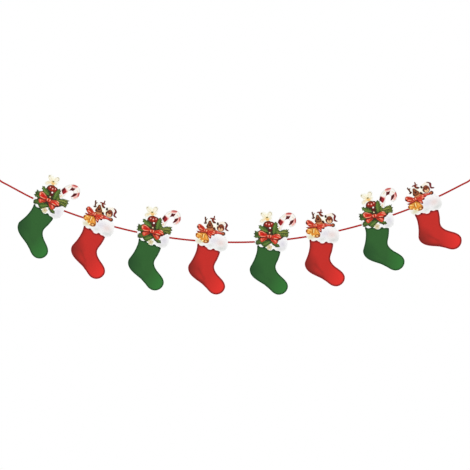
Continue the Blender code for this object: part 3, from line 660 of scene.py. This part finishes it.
RED_BOW = """
area bow_deep bow_rim 0.8 -33.2,39.4! -29.8,39.2 -24,38.6 -16,38! -14.6,36! -20,35.6 -25,35.8 -29.6,36!
  -31.2,37!
stroke bow bow_rim 1.2 0.6 -30.2,38.2 -26,37.4 -20,37.2
area bow_deep bow_rim 0.8 -16,37.8! -10.6,31.4 -7.4,27.4 -4.6,24.6! -3,26.4! -2.6,31.4! -8,35.4 -12,38.6!
area bow bow_rim 0.9 -11.6,35.4 -8.8,31 -6.2,28 -3.8,27.6! -3,30.4 -5,33 -8,36!
stroke bow_pink bow_glow 2 0.7 -8.4,32.4 -6.4,30 -4.4,28.8
area bow bow_rim 1.5 -32.6,46.6 -32.2,49.6 -30.2,52.4 -27.4,53.4 -23.2,51.4 -19.4,48.6 -16.4,45.2 -14.6,42
  -15.2,38.6 -18.6,37 -23.2,37.6 -27.4,40 -30,42.8
stroke bow_rim bow_rim 1.6 0.6 -27.4,50.4 -23.4,48.6 -18.6,44.6
area hole bow_deep 0.8 -32.9,47.2 -32.2,49.4 -30.4,48.6 -29.4,46.4 -30.4,44.8 -31.8,45.2
stroke bow_bright bow_rim 2.4 0.5 -26.8,48.2 -23.2,46 -18.8,42.6
stroke bow_pink bow_glow 2.2 0.7 -29.8,51 -28.8,49.2 -27.4,47.8
stroke bow_glow bow 1.6 0.5 -27.8,52.4 -23.4,50.2 -18.8,46
stroke bow_pink bow_glow 2.4 0.5 -28,45 -24.6,43.6 -21.2,42
stroke bow_deep bow_rim 1.5 0.6 -27.2,43 -22.4,40.4 -17.8,39.4
stroke bow_glow bow 1.6 0.6 -25.8,40.6 -21.6,38.8 -18.2,38.4
area bow bow_rim 1.5 -10.4,42.4 -5,42.6 -0.5,42.8 3.4,41.4 5.2,38.6 4.4,35.2 2.4,32 -0.6,32.2 -4.6,31.4
  -8.4,34.2 -11.4,37
stroke bow_glow bow 2 0.6 -8.6,41 -3.8,41.4 0.8,41.2
stroke bow_rim bow_rim 0.9 0.5 -8.8,39.8 -3.8,39.8 1.8,39.8
stroke bow_bright bow 2.2 0.7 -8.2,38.6 -4.2,37.6 0.6,37.8
stroke bow_pink bow_glow 2.6 0.7 0.4,40 2.6,39.4 4,38.4
stroke bow_deep bow_rim 1 0.5 -8.6,37.4 -4.4,35.8 0.4,35.4
stroke bow_pink bow_glow 2 0.7 -1.6,36.6 1,36 3.2,36.2
stroke bow_glow bow 1.6 0.6 -8.4,36.2 -5.2,34.2 -2.6,33.4
area hole bow_deep 0.7 -1.2,33.6 1.2,34.2 3.6,33.9 3,31.9 1,31.3 -0.8,31.9
area bow bow_rim 1.1 -18,43.4 -14.4,44.6 -11.2,43 -10.2,39.4 -12,37 -16.4,37.4
stroke bow_pink bow_glow 2 0.6 -16.8,42.8 -16.8,41 -16.2,39.2
stroke bow_cream bow_glow 2.4 0.6 -12.9,42.8 -12.7,40.8 -13.3,38.8
stroke bow_deep bow_rim 1.1 0.6 -14.8,43.4 -14.8,40.8 -14.8,38
"""
RED_ART = REINDEER + TEDDY_BEAR + BELLS + RED_BOW

# Soft tints on the fur cuff and the bare paper: ink, strength, middle and reach, in the outline's units
CUFF_SHADES = {
    "green": [
        ("warm_paper", 0.8, -12, 70, 12, 10), ("fur_shade", 0.7, 16, 6, 7, 3.5),
        ("fur_lilac", 0.95, 21, 16, 7, 8), ("fur_shade", 0.3, 25, 8, 4, 6),
    ],
    "red": [
        ("warm_paper", 0.9, 0, 52, 16, 9), ("fur_shade", 0.7, -4, 11.5, 7, 4),
        ("fur_lilac", 0.8, 4, 22, 11, 7), ("fur_pink", 0.95, 17, 18, 9, 7), ("fur_shade", 0.85, 18, 7, 9, 4),
        ("fur_shade", 0.4, 26, 12, 4, 7), ("fur_straw", 0.9, -25, 18.5, 8, 4.5),
    ],
}

# Folds in the leg: a line through points, its reach to either side and its strength
LEG_FOLDS = {
    "green": [("-22,-38 -14,-51 -2,-58", 3.5, 0.16), ("-38,-50 -28,-57.9 -15,-66", 6.0, 0.55),
              ("-30,12 -31,-2 -34,-10 -38,-20", 6.0, 0.25)],
    "red": [("-24,-36 -19.5,-43 -15.5,-49 -11,-55", 2.4, 0.36), ("-38,-50 -28,-57.9 -15,-66", 6.5, 0.9),
            ("-30,12 -31,-2 -34,-10 -38,-20", 7.0, 0.4)],
}
LEG_CORNERS = "-29.0,11.6 -16.2,9.8 3.6,5.0 14.6,0.2"      # where the fur's shadow is deepest on the leg
CORNER_REACH = 2.4
TOP_REACH = 3.0              # from the leg's top edge, where its rim is fainter by this share
TOP_SHARE = 0.6
LEG_INKS = ("leg", "toe", "heel", "rim", "edge", "corner")
HEEL = (-44, -36)
HEEL_REACH = 30
TOE_WAY = (0.95, -0.3)
TOE_START = 14.0
TOE_REACH = 31.0
LEG_SHADES = (0.6, 1.2, 1.9, 2.8, 3.8, 4.9)  # contour lines in from the leg's edge
EDGE_START = 0.5
EDGE_REACH = 0.9
RIM_START = 1.5
RIM_REACH = {"green": 1.6, "red": 2.4}
MARK_SHADES = (0.3, 0.6, 1.0)               # contour lines in a mark, as shares of its rim
CONTOUR_STEP = 0.9
CONTOUR_KEEP = 0.97          # a contour's points stay this share of its inset from the ring
GRID_STEP = 2.7
GRID_RIGHT = (-44, 34)
GRID_UP = (-86, 34)


def as_array(ring):
    """A ring's points as rows."""
    return np.array([tuple(point) for point in ring])


def signed_area(ring):
    """Positive if a ring runs counter-clockwise."""
    return sum(here.cross(after) for here, after in zip(ring, ring[1:] + ring[:1])) / 2


def distance_to(ring, points):
    """How far each point is from a closed ring."""
    start = as_array(ring)
    side = np.roll(start, -1, axis=0) - start
    nearest = np.full(len(points), np.inf)
    for first, along in zip(start, side):
        rel = points - first
        share = np.clip(rel @ along / max(along @ along, 1e-12), 0, 1)
        nearest = np.minimum(nearest, np.hypot(*(rel - share[:, None] * along).T))
    return nearest


def distance_to_line(line, points):
    """How far each point is from an open line, given as text."""
    there = read_points(line)[0]
    return distance_to(there + there[-2:0:-1], points)


def contour(ring, inset):
    """Evenly spaced points inside a ring, all as far from it as the inset, where there is room."""
    ring = ring if signed_area(ring) > 0 else ring[::-1]
    found = []
    for start, end in zip(ring, ring[1:] + ring[:1]):
        along = end - start
        count = max(1, math.ceil(along.length / CONTOUR_STEP))
        inwards = Vector((-along.y, along.x)).normalized() * inset
        found += [start + along * ((step + 0.5) / count) + inwards for step in range(count)]
    gaps = distance_to(ring, as_array(found))
    return [point for point, gap in zip(found, gaps) if gap > CONTOUR_KEEP * inset]


def mixed(one, other, share):
    """Colours between two, row by row."""
    share = np.clip(share, 0, 1)[:, None]
    return one * (1 - share) + other * share


def leg_colours(kind, ring, points):
    """The leg's ink: a dark rim inside its edge, a darker heel with folds and a lighter toe."""
    leg, toe, heel, rim, edge, corner_ink = [screen_colour(kind + "_" + part) for part in LEG_INKS]
    towards_toe = (points @ TOE_WAY - TOE_START) / TOE_REACH
    heel_distance = np.hypot(points[:, 0] - HEEL[0], points[:, 1] - HEEL[1])
    body = mixed(mixed(leg, toe, towards_toe), heel, 1 - heel_distance / HEEL_REACH)
    for line, reach, strength in LEG_FOLDS[kind]:
        off = distance_to_line(line, points)
        body = mixed(body, heel, strength * np.exp(-(off / reach) ** 2))
    inset = distance_to(ring, points)
    near_top = np.exp(-(distance_to_line(LEG_TOP, points) / TOP_REACH) ** 2)
    rim = mixed(edge, rim, (inset - EDGE_START) / EDGE_REACH)
    colours = mixed(rim, body, np.maximum((inset - RIM_START) / RIM_REACH[kind], TOP_SHARE * near_top))
    for corner in read_points(LEG_CORNERS)[0]:
        off = np.hypot(points[:, 0] - corner.x, points[:, 1] - corner.y)
        colours = mixed(colours, corner_ink, np.exp(-(off / CORNER_REACH) ** 2))
    return colours


def cuff_colours(kind, points):
    """The ink of the fur cuff and the bare paper: white with soft tints."""
    colours = np.repeat(screen_colour("paper")[None, :], len(points), axis=0)
    for ink, strength, x, y, wide, high in CUFF_SHADES[kind]:
        near = np.exp(-((points[:, 0] - x) / wide) ** 2 - ((points[:, 1] - y) / high) ** 2)
        colours = mixed(colours, screen_colour(ink), strength * near)
    return colours


def mark_colours(mark, points):
    """A mark's ink at the given points: its rim fades into its middle."""
    if not mark.width:
        return np.repeat(screen_colour(mark.ink)[None, :], len(points), axis=0)
    inset = distance_to(mark.ring, points)
    return mixed(screen_colour(mark.rim), screen_colour(mark.ink), inset / mark.width)


def card_mesh(kind, top, marks):
    """A printed card: every field is cut into the front as its own faces, which carry its ink."""
    edge = outline(LEG_EDGE + CUFF_RIGHT + top + CUFF_LEFT, OUTLINE_TURN)
    leg = outline(LEG_EDGE + " ".join(LEG_TOP.split()[1:-1]), OUTLINE_TURN)
    fur = tufts()
    rings = [edge] + [mark.ring for mark in fur] + [leg] + [mark.ring for mark in marks]
    painters = [lambda spots: cuff_colours(kind, spots)]
    painters += [lambda spots, mark=mark: mark_colours(mark, spots) for mark in fur]
    painters += [lambda spots: leg_colours(kind, leg, spots)]
    painters += [lambda spots, mark=mark: mark_colours(mark, spots) for mark in marks]

    points = [point for ring in rings for point in ring]
    starts = np.cumsum([0] + [len(ring) for ring in rings])
    faces = [list(range(start, start + len(ring))) for start, ring in zip(starts, rings)]
    faces = [face if signed_area(ring) > 0 else face[::-1] for face, ring in zip(faces, rings)]
    for inset in LEG_SHADES:
        points += contour(leg, inset)
    for mark in marks:
        points += mark.middle
        for share in MARK_SHADES if mark.width and not mark.middle else ():
            points += contour(mark.ring, share * mark.width)
    for x in np.arange(*GRID_RIGHT, GRID_STEP):
        points += [Vector((x, y)) for y in np.arange(*GRID_UP, GRID_STEP)]
    flat, _, triangles, _, _, inside = delaunay_2d_cdt(points, [], faces, 1, SAME_POINT, True)

    flat = as_array(flat)
    kept = [(triangle, max(fields)) for triangle, fields in zip(triangles, inside) if 0 in fields]
    shape = bmesh.new()
    ink = shape.loops.layers.float_color.new("ink")
    front = [shape.verts.new((x * OUTLINE_UNIT, CARD_FRONT, y * OUTLINE_UNIT)) for x, y in flat]
    for field, painter in enumerate(painters):
        mine = [triangle for triangle, top_field in kept if top_field == field]
        if not mine:
            continue
        colours = painter(flat[np.array(mine).ravel()])
        for triangle, painted in zip(mine, colours.reshape(-1, 3, 3)):
            face = shape.faces.new([front[index] for index in triangle])
            for loop, colour in zip(face.loops, painted):
                loop[ink] = (*colour, 1.0)
    bmesh.ops.delete(shape, geom=[vert for vert in shape.verts if not vert.link_faces], context="VERTS")
    close_card(shape)
    mesh = bpy.data.meshes.new(kind + "_card")
    shape.to_mesh(mesh)
    shape.free()
    return mesh


def close_card(shape):
    """Gives a printed front its cut edge and its back, as materials 1 and 2."""
    pushed = bmesh.ops.extrude_face_region(shape, geom=shape.faces[:], use_keep_orig=True)["geom"]
    back = [item for item in pushed if isinstance(item, bmesh.types.BMFace)]
    for vert in {vert for face in back for vert in face.verts}:
        vert.co.y = CARD_BACK
    bmesh.ops.dissolve_faces(shape, faces=back)
    bmesh.ops.recalc_face_normals(shape, faces=shape.faces[:])
    for face in shape.faces:
        depths = [vert.co.y for vert in face.verts]
        if min(depths) > CARD_FRONT + CARD_THICKNESS / 2:
            face.material_index = 2
        elif max(depths) > CARD_FRONT + CARD_THICKNESS / 2:
            face.material_index = 1


# Materials

class Nodes:
    """A material's node tree, with short ways to add to it."""

    def __init__(self, name):
        self.material = bpy.data.materials.new(name)
        self.material.use_nodes = True
        self.tree = self.material.node_tree
        self.shader = self.tree.nodes["Principled BSDF"]

    def set(self, node, name, value):
        """Sets or links one input, by its name or its number."""
        socket = node.inputs[int(name) if name.isdigit() else name]
        if isinstance(value, bpy.types.NodeSocket):
            self.tree.links.new(value, socket)
        else:
            socket.default_value = value

    def fill(self, node, **inputs):
        """Sets or links inputs, with underscores for the spaces in their names."""
        for name, value in inputs.items():
            self.set(node, name.replace("_", " "), value)
        return node

    def add(self, kind, settings=(), **inputs):
        """A node, with its settings and its inputs."""
        node = self.tree.nodes.new("ShaderNode" + kind)
        for name, value in dict(settings).items():
            setattr(node, name, value)
        return self.fill(node, **inputs)

    def place(self):
        """Where on the object a point is."""
        return self.add("TexCoord").outputs["Object"]

    def noise(self, coordinates, scale, detail):
        """A noise texture's strength."""
        return self.add("TexNoise", Vector=coordinates, Scale=scale, Detail=detail).outputs["Fac"]

    def between(self, factor, low, high):
        """A factor from 0 to 1 stretched to a range."""
        return self.add("MapRange", Value=factor, To_Min=low, To_Max=high).outputs["Result"]

    def texture(self, coordinates, scale, detail, low, high):
        """A noise texture's strength stretched to a range."""
        return self.between(self.noise(coordinates, scale, detail), low, high)

    def mix(self, factor, one, other, how="MIX"):
        """Two colours mixed."""
        node = self.add("Mix", {"data_type": "RGBA", "blend_type": how})
        for number, value in (("0", factor), ("6", one), ("7", other)):
            self.set(node, number, value)
        return node.outputs[2]

    def finish(self, relief, depth, **inputs):
        """Sets the shader's inputs and its relief, and gives the material."""
        self.fill(self.shader, **inputs)
        bump = self.add("Bump", Height=relief, Distance=depth, Strength=1.0)
        self.set(self.shader, "Normal", bump.outputs["Normal"])
        return self.material


# Noise in the finishes: cells to a metre, detail, and the range that it's stretched to
PRINT_MOTTLE = (420.0, 4.0, 0.93, 1.05)
PRINT_GRAIN = (2600.0, 2.0, 0.97, 1.03)
PRINT_ROUGHNESS = (700.0, 3.0, 0.38, 0.56)
CORD_WEAR = (90.0, 3.0, 0.0, 0.35)
PRINT_FACE = (1900.0, 4.0)   # the relief under the print, which isn't stretched

# Least and greatest roughness
PAPER_ROUGHNESS = (0.78, 0.95)
CORE_ROUGHNESS = (0.8, 0.95)
CORD_ROUGHNESS = (0.75, 0.95)

# Paper: its colour, fibres to a metre and contrast. Clouds are larger than the fibres and hide some of them.
BACK_PAPER = (CARD_BACK_COLOUR, 1500.0, 0.10)
PATCH_PAPER = (PATCH_COLOUR, 1100.0, 0.14)
CLOUD_SCALE = 0.12
CLOUD_SHARE = 0.35

CORE_LAYERS = (300.0, 9000.0, 300.0)        # cells to a metre, thinnest through the card
CORE_SHADE = 0.86
CORD_FIBRES = (60.0, 260.0, 1.0)
CORD_DARKEST = 0.55          # share of the shade in the darkest fibres
CORD_FADE = 1.3              # how much lighter worn spots are

# Depth of the relief, in metres
PRINT_RELIEF = 0.00003
PAPER_RELIEF = 0.00006
CORE_RELIEF = 0.00004
CORD_RELIEF = 0.00012


def with_alpha(colour, share=1.0):
    """A colour, or a share of it, with full alpha."""
    return (*(channel * share for channel in colour), 1.0)


def print_material():
    """Printed and coated card: ink with a faint mottle, on fine paper grain under a satin coat."""
    nodes = Nodes("printed_card")
    place = nodes.place()
    ink = nodes.add("VertexColor", {"layer_name": "ink"}).outputs["Color"]
    tone = nodes.add("Math", {"operation": "MULTIPLY"})
    nodes.set(tone, "0", nodes.texture(place, *PRINT_MOTTLE))
    nodes.set(tone, "1", nodes.texture(place, *PRINT_GRAIN))
    grey = nodes.add("CombineXYZ", X=tone.outputs[0], Y=tone.outputs[0], Z=tone.outputs[0]).outputs[0]
    return nodes.finish(nodes.noise(place, *PRINT_FACE), PRINT_RELIEF,
                        Base_Color=nodes.mix(1.0, ink, grey, "MULTIPLY"),
                        Roughness=nodes.texture(place, *PRINT_ROUGHNESS), Specular_IOR_Level=0.2)


def paper_material(name, colour, fibre_scale, contrast):
    """Uncoated paper: pale fibres and flecks in its colour, and a rough, matte face."""
    nodes = Nodes(name)
    place = nodes.place()
    cloud = nodes.texture(place, fibre_scale * CLOUD_SCALE, 5.0, 0.0, CLOUD_SHARE)
    fibre = nodes.add("TexNoise", Vector=place, Scale=fibre_scale, Detail=6.0, Distortion=2.0).outputs["Fac"]
    base = nodes.mix(nodes.between(fibre, 0.0, 1.0), with_alpha(colour, 1 - contrast), with_alpha(colour))
    return nodes.finish(fibre, PAPER_RELIEF, Base_Color=nodes.mix(cloud, base, with_alpha(colour)),
                        Roughness=nodes.between(fibre, *PAPER_ROUGHNESS), Specular_IOR_Level=0.25)


def core_material():
    """The cut edge of card: pale, with thin layers that run along it."""
    nodes = Nodes("card_core")
    layers = nodes.add("Mapping", Vector=nodes.place(), Scale=CORE_LAYERS).outputs["Vector"]
    lines = nodes.noise(layers, 1.0, 3.0)
    layered = nodes.mix(lines, with_alpha(CARD_CORE_COLOUR, CORE_SHADE), with_alpha(CARD_CORE_COLOUR))
    return nodes.finish(lines, CORE_RELIEF, Base_Color=layered,
                        Roughness=nodes.between(lines, *CORE_ROUGHNESS))


def cord_material():
    """Twisted cotton: fibres along each strand, painted shade in the grooves between strands, and a soft
    sheen.
    """
    nodes = Nodes("twisted_cord")
    strand = nodes.add("UVMap", {"uv_map": "strand"}).outputs["UV"]
    fibres = nodes.add("Mapping", Vector=strand, Scale=CORD_FIBRES).outputs["Vector"]
    fibre = nodes.noise(fibres, 1.0, 5.0)
    wear = nodes.texture(nodes.place(), *CORD_WEAR)
    groove_shade = nodes.add("VertexColor", {"layer_name": "groove_shade"}).outputs["Color"]
    dyed = nodes.mix(nodes.between(fibre, 0.0, CORD_DARKEST), with_alpha(CORD_COLOUR), with_alpha(CORD_DARK_FIBRE_AND_GROOVE_SHADE))
    worn = nodes.mix(wear, dyed, with_alpha(CORD_COLOUR, CORD_FADE))
    # Painted shade: the grooves take the cord's dark colour, as the groove layer gives
    return nodes.finish(fibre, CORD_RELIEF, Base_Color=nodes.mix(groove_shade, with_alpha(CORD_DARK_FIBRE_AND_GROOVE_SHADE), worn),
                        Roughness=nodes.between(fibre, *CORD_ROUGHNESS), Specular_IOR_Level=0.12,
                        Sheen_Weight=0.1, Sheen_Roughness=0.5, Sheen_Tint=with_alpha(CORD_COLOUR))


def add_object(name, data):
    """A new object in the scene."""
    made = bpy.data.objects.new(name, data)
    bpy.context.scene.collection.objects.link(made)
    return made


# The cord

def end_route(hook, run_end):
    """The cord from its free end through the knot, round the loop and back through the knot to the run."""
    inwards = (run_end - hook).normalized()
    across = Vector((-inwards.y, inwards.x)) * math.copysign(1.0, inwards.x)
    half = LOOP_WIDTH / 2
    widest = half - CORD_RADIUS
    shoulder = KNOT_INNER_END + (widest - KNOT_INNER_END) * LOOP_SHOULDER
    strand = [
        (KNOT_OUTER_END, STRAND_SIDE),
        ((KNOT_OUTER_END + KNOT_INNER_END) / 2, STRAND_SIDE),
        (KNOT_INNER_END, STRAND_SIDE),
        (shoulder, half * SHOULDER_WIDTH),
    ]
    turns = [math.radians(degrees) for degrees in LOOP_TURNS]
    strand += [(widest - half * math.sin(turn), half * math.cos(turn)) for turn in turns]
    away = [(KNOT_OUTER_END + TAIL_LENGTH, -STRAND_SIDE - TAIL_SPREAD)]
    away += [(inner, -side) for inner, side in strand]
    home = [(-CORD_RADIUS, 0.0)] + strand[::-1]
    home += [(KNOT_OUTER_END + JOIN_LENGTH, 0.0), (KNOT_OUTER_END + 2 * JOIN_LENGTH, 0.0)]
    return [hook + inwards * inner + across * side for inner, side in away + home]


def cord_line():
    """Points down the middle of the whole cord, close together."""
    left, right = [point * OUTLINE_UNIT for point in read_points(HOOKS)[0]]
    run = [point * OUTLINE_UNIT for point in read_points(RUN_ROUTE)[0]]
    route = end_route(left, run[0]) + run + end_route(right, run[-1])[::-1]
    ends = [True] + [False] * (len(route) - 2) + [True]
    line = curve_through(route, ends, False, lambda length, bend: max(1, math.ceil(length / CORD_STEP)))
    return [Vector((point.x, 0.0, point.y)) for point in line], left, right, run


def lobe_radius(angle, radius):
    """The outside of three strands pressed together, at an angle round their middle."""
    strand = radius * STRAND_SHARE
    middle = radius - strand
    off = (angle + math.pi / LOBES) % (math.tau / LOBES) - math.pi / LOBES
    return middle * math.cos(off) + math.sqrt(strand ** 2 - (middle * math.sin(off)) ** 2)


def twisted_tube(name, line, side_of, radius):
    """A tube of three twisted strands along a line, as one closed body."""
    count = LOBES * LOBE_POINTS
    verts, faces, spots, shades = [], [], [], []
    travelled = 0.0
    for index, point in enumerate(line):
        travelled += (point - line[max(index - 1, 0)]).length
        along = (line[min(index + 1, len(line) - 1)] - line[max(index - 1, 0)]).normalized()
        side = side_of(along)
        up = along.cross(side)
        twist = math.tau * travelled / LAY_LENGTH
        for step in range(count):
            angle = math.tau * step / count
            reach = lobe_radius(angle, radius)
            verts.append(point + (side * math.cos(angle + twist) + up * math.sin(angle + twist)) * reach)
            # Painted shade: a vertex is darker the deeper it lies in a groove between strands
            shades.append(min(1.0, max(0.0, (reach / radius - GROOVE_START) / GROOVE_REACH)))
        spots.append(travelled)
    for ring in range(len(line) - 1):
        for step in range(count):
            after = (step + 1) % count
            faces.append((ring * count + step, ring * count + after,
                          (ring + 1) * count + after, (ring + 1) * count + step))
    faces += [tuple(range(count))[::-1], tuple(range((len(line) - 1) * count, len(line) * count))]
    mesh = bpy.data.meshes.new(name)
    mesh.from_pydata(verts, [], faces)
    shape = bmesh.new()
    shape.from_mesh(mesh)
    bmesh.ops.recalc_face_normals(shape, faces=shape.faces[:])
    strand = shape.loops.layers.uv.new("strand")
    groove_shade = shape.verts.layers.float_color.new("groove_shade")
    shape.verts.ensure_lookup_table()
    for vert, shade in zip(shape.verts, shades):
        vert[groove_shade] = (shade, shade, shade, 1.0)
    for face in shape.faces:
        steps = [vert.index % count for vert in face.verts]
        for loop, step in zip(face.loops, steps):
            turn = step + count if max(steps) - min(steps) > count / 2 and step < count / 2 else step
            loop[strand].uv = (turn / count, spots[loop.vert.index // count])
    shape.to_mesh(mesh)
    shape.free()
    mesh.shade_smooth()
    mesh.materials.append(CORD_MATERIAL)
    return add_object(name, mesh)


def wrap_line(hook, run_end):
    """The line of the wraps round both strands of a loop, each beside the last, with round ends."""
    inwards = (run_end - hook).normalized()
    across = Vector((-inwards.y, inwards.x))
    bend = CORD_RADIUS + SEAT_GAP + KNOT_WALL / 2
    straight = 2 * STRAND_SIDE
    lap = 2 * straight + math.tau * bend
    pitch = (KNOT_LENGTH - KNOT_WALL) / WRAP_TURNS
    line = []
    for index in range(math.ceil(WRAP_TURNS * lap / WRAP_STEP) + 1):
        gone = min(index * WRAP_STEP, WRAP_TURNS * lap)
        at = gone % lap
        if at < straight:
            side, depth = STRAND_SIDE - at, bend
        elif at < straight + math.pi * bend:
            angle = (at - straight) / bend
            side, depth = -STRAND_SIDE - bend * math.sin(angle), bend * math.cos(angle)
        elif at < 2 * straight + math.pi * bend:
            side, depth = at - straight - math.pi * bend - STRAND_SIDE, -bend
        else:
            angle = (at - 2 * straight - math.pi * bend) / bend
            side, depth = STRAND_SIDE + bend * math.sin(angle), -bend * math.cos(angle)
        forward = KNOT_INNER_END + KNOT_WALL / 2 + pitch * gone / lap
        place = hook + inwards * forward + across * side
        line.append(Vector((place.x, depth, place.y)))
    return line


def add_knot(name, hook, run_end):
    """The knot that closes a loop: the cord wrapped round both strands."""
    inwards = (run_end - hook).normalized()
    axis = Vector((inwards.x, 0.0, inwards.y))
    line = wrap_line(hook, run_end)

    def side_of(along):
        return axis.cross(along).normalized()

    knot = twisted_tube(name, line, side_of, KNOT_WALL / 2)
    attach(knot, "root")
    return knot


def add_cord(line):
    """The cord itself, in place of the part's solid cord."""
    piece = twisted_tube("twisted_cord", line, lambda along: Vector((0.0, 1.0, 0.0)), TWIST_RADIUS)
    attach(piece, "root")
    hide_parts("cord")


# Cards and patches

def add_cards():
    """The eight cards, each in front of the cord and turned in its own plane."""
    materials = [print_material(), core_material(), paper_material("card_back", *BACK_PAPER)]
    meshes = {
        "green": card_mesh("green", GREEN_TOP, read_marks(GREEN_ART)),
        "red": card_mesh("red", RED_TOP, read_marks(RED_ART)),
    }
    for number, (kind, place, turned) in enumerate(CARDS, 1):
        mesh = meshes[kind].copy()
        for material in materials:
            mesh.materials.append(material)
        card = add_object("%s_card_%d" % (kind, number), mesh)
        middle = read_points(place)[0][0] * OUTLINE_UNIT
        card.location = (middle.x, 0.0, middle.y)
        card.rotation_euler.y = -math.radians(turned)
        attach(card, "root")
        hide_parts("stocking_card_%d" % number)
    for mesh in meshes.values():
        bpy.data.meshes.remove(mesh)


def dress_patches():
    """The paper patches keep their solids and get a paper finish."""
    paper = paper_material("patch_paper", *PATCH_PAPER)
    for name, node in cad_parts.items():
        if name.startswith("back_patch"):
            node.data.materials.clear()
            node.data.materials.append(paper)


# Camera, light and floor

def add_camera():
    """The photo's straight view from the front."""
    lens = bpy.data.cameras.new("camera")
    lens.lens = LENS_MM
    lens.sensor_width = SENSOR_MM
    camera = add_object("camera", lens)
    distance = VIEW_WIDTH * LENS_MM / SENSOR_MM
    camera.location = (VIEW_CENTRE[0], CARD_FRONT - distance, VIEW_CENTRE[1])
    camera.rotation_euler.x = math.radians(90)
    bpy.context.scene.camera = camera


def add_lamp(name, place, size, power):
    """A soft square lamp, aimed at the garland."""
    data = bpy.data.lights.new(name, "AREA")
    data.size = size
    data.energy = power
    lamp = add_object(name, data)
    lamp.location = place
    lamp.rotation_euler = (Vector(LAMP_AIM) - Vector(place)).to_track_quat("-Z", "Y").to_euler()


def glow_as_background(tree, plain, glow, share, output):
    """Mixes white into a shader where it is seen as background, straight or by way of gloss or glass."""
    def calculated(how, one, other):
        node = tree.nodes.new("ShaderNodeMath")
        node.operation = how
        tree.links.new(one, node.inputs[0])
        if isinstance(other, float):
            node.inputs[1].default_value = other
        else:
            tree.links.new(other, node.inputs[1])
        return node.outputs[0]

    path = tree.nodes.new("ShaderNodeLightPath").outputs
    seen = path["Is Camera Ray"]
    for name in ("Is Glossy Ray", "Is Transmission Ray"):
        seen = calculated("MAXIMUM", seen, path[name])
    glow.inputs["Color"].default_value = WHITE
    pick = tree.nodes.new("ShaderNodeMixShader")
    tree.links.new(calculated("MULTIPLY", seen, share), pick.inputs["Fac"])
    tree.links.new(plain.outputs[0], pick.inputs[1])
    tree.links.new(glow.outputs[0], pick.inputs[2])
    tree.links.new(pick.outputs[0], tree.nodes[output].inputs["Surface"])


def add_world():
    """Even light all round, and white where the camera sees past the object."""
    world = bpy.data.worlds.new("studio")
    bpy.context.scene.world = world
    world.use_nodes = True
    tree = world.node_tree
    light = tree.nodes["Background"]
    light.inputs["Color"].default_value = WHITE
    light.inputs["Strength"].default_value = WORLD_STRENGTH
    glow_as_background(tree, light, tree.nodes.new("ShaderNodeBackground"), 1.0, "World Output")


def add_floor():
    """A plain pale floor, far below the garland and round, so that its far edge is level from every side."""
    turns = [math.tau * corner / FLOOR_CORNERS for corner in range(FLOOR_CORNERS)]
    rim = [(FLOOR_RADIUS * math.cos(turn), FLOOR_RADIUS * math.sin(turn), 0.0) for turn in turns]
    mesh = bpy.data.meshes.new("floor")
    mesh.from_pydata(rim, [], [range(FLOOR_CORNERS)])
    nodes = Nodes("pale_floor")
    nodes.fill(nodes.shader, Base_Color=with_alpha(FLOOR_COLOUR), Roughness=0.9)
    glow_as_background(nodes.tree, nodes.shader, nodes.add("Emission"), FLOOR_GLOW, "Material Output")
    mesh.materials.append(nodes.material)
    floor = add_object("floor", mesh)
    floor.location = (VIEW_CENTRE[0], 0.0, FLOOR_LEVEL)


bpy.context.scene.view_settings.view_transform = "Standard"
add_camera()
add_world()
for lamp_name, (lamp_place, lamp_size, lamp_power) in LAMPS.items():
    add_lamp(lamp_name, lamp_place, lamp_size, lamp_power)
add_floor()

CORD_MATERIAL = cord_material()
middle_line, left_hook, right_hook, run_points = cord_line()
left_knot = add_knot("left_knot_wraps", left_hook, run_points[0])
right_knot = add_knot("right_knot_wraps", right_hook, run_points[-1])
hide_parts("left_knot")
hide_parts("right_knot")
add_cord(middle_line)
add_cards()
dress_patches()
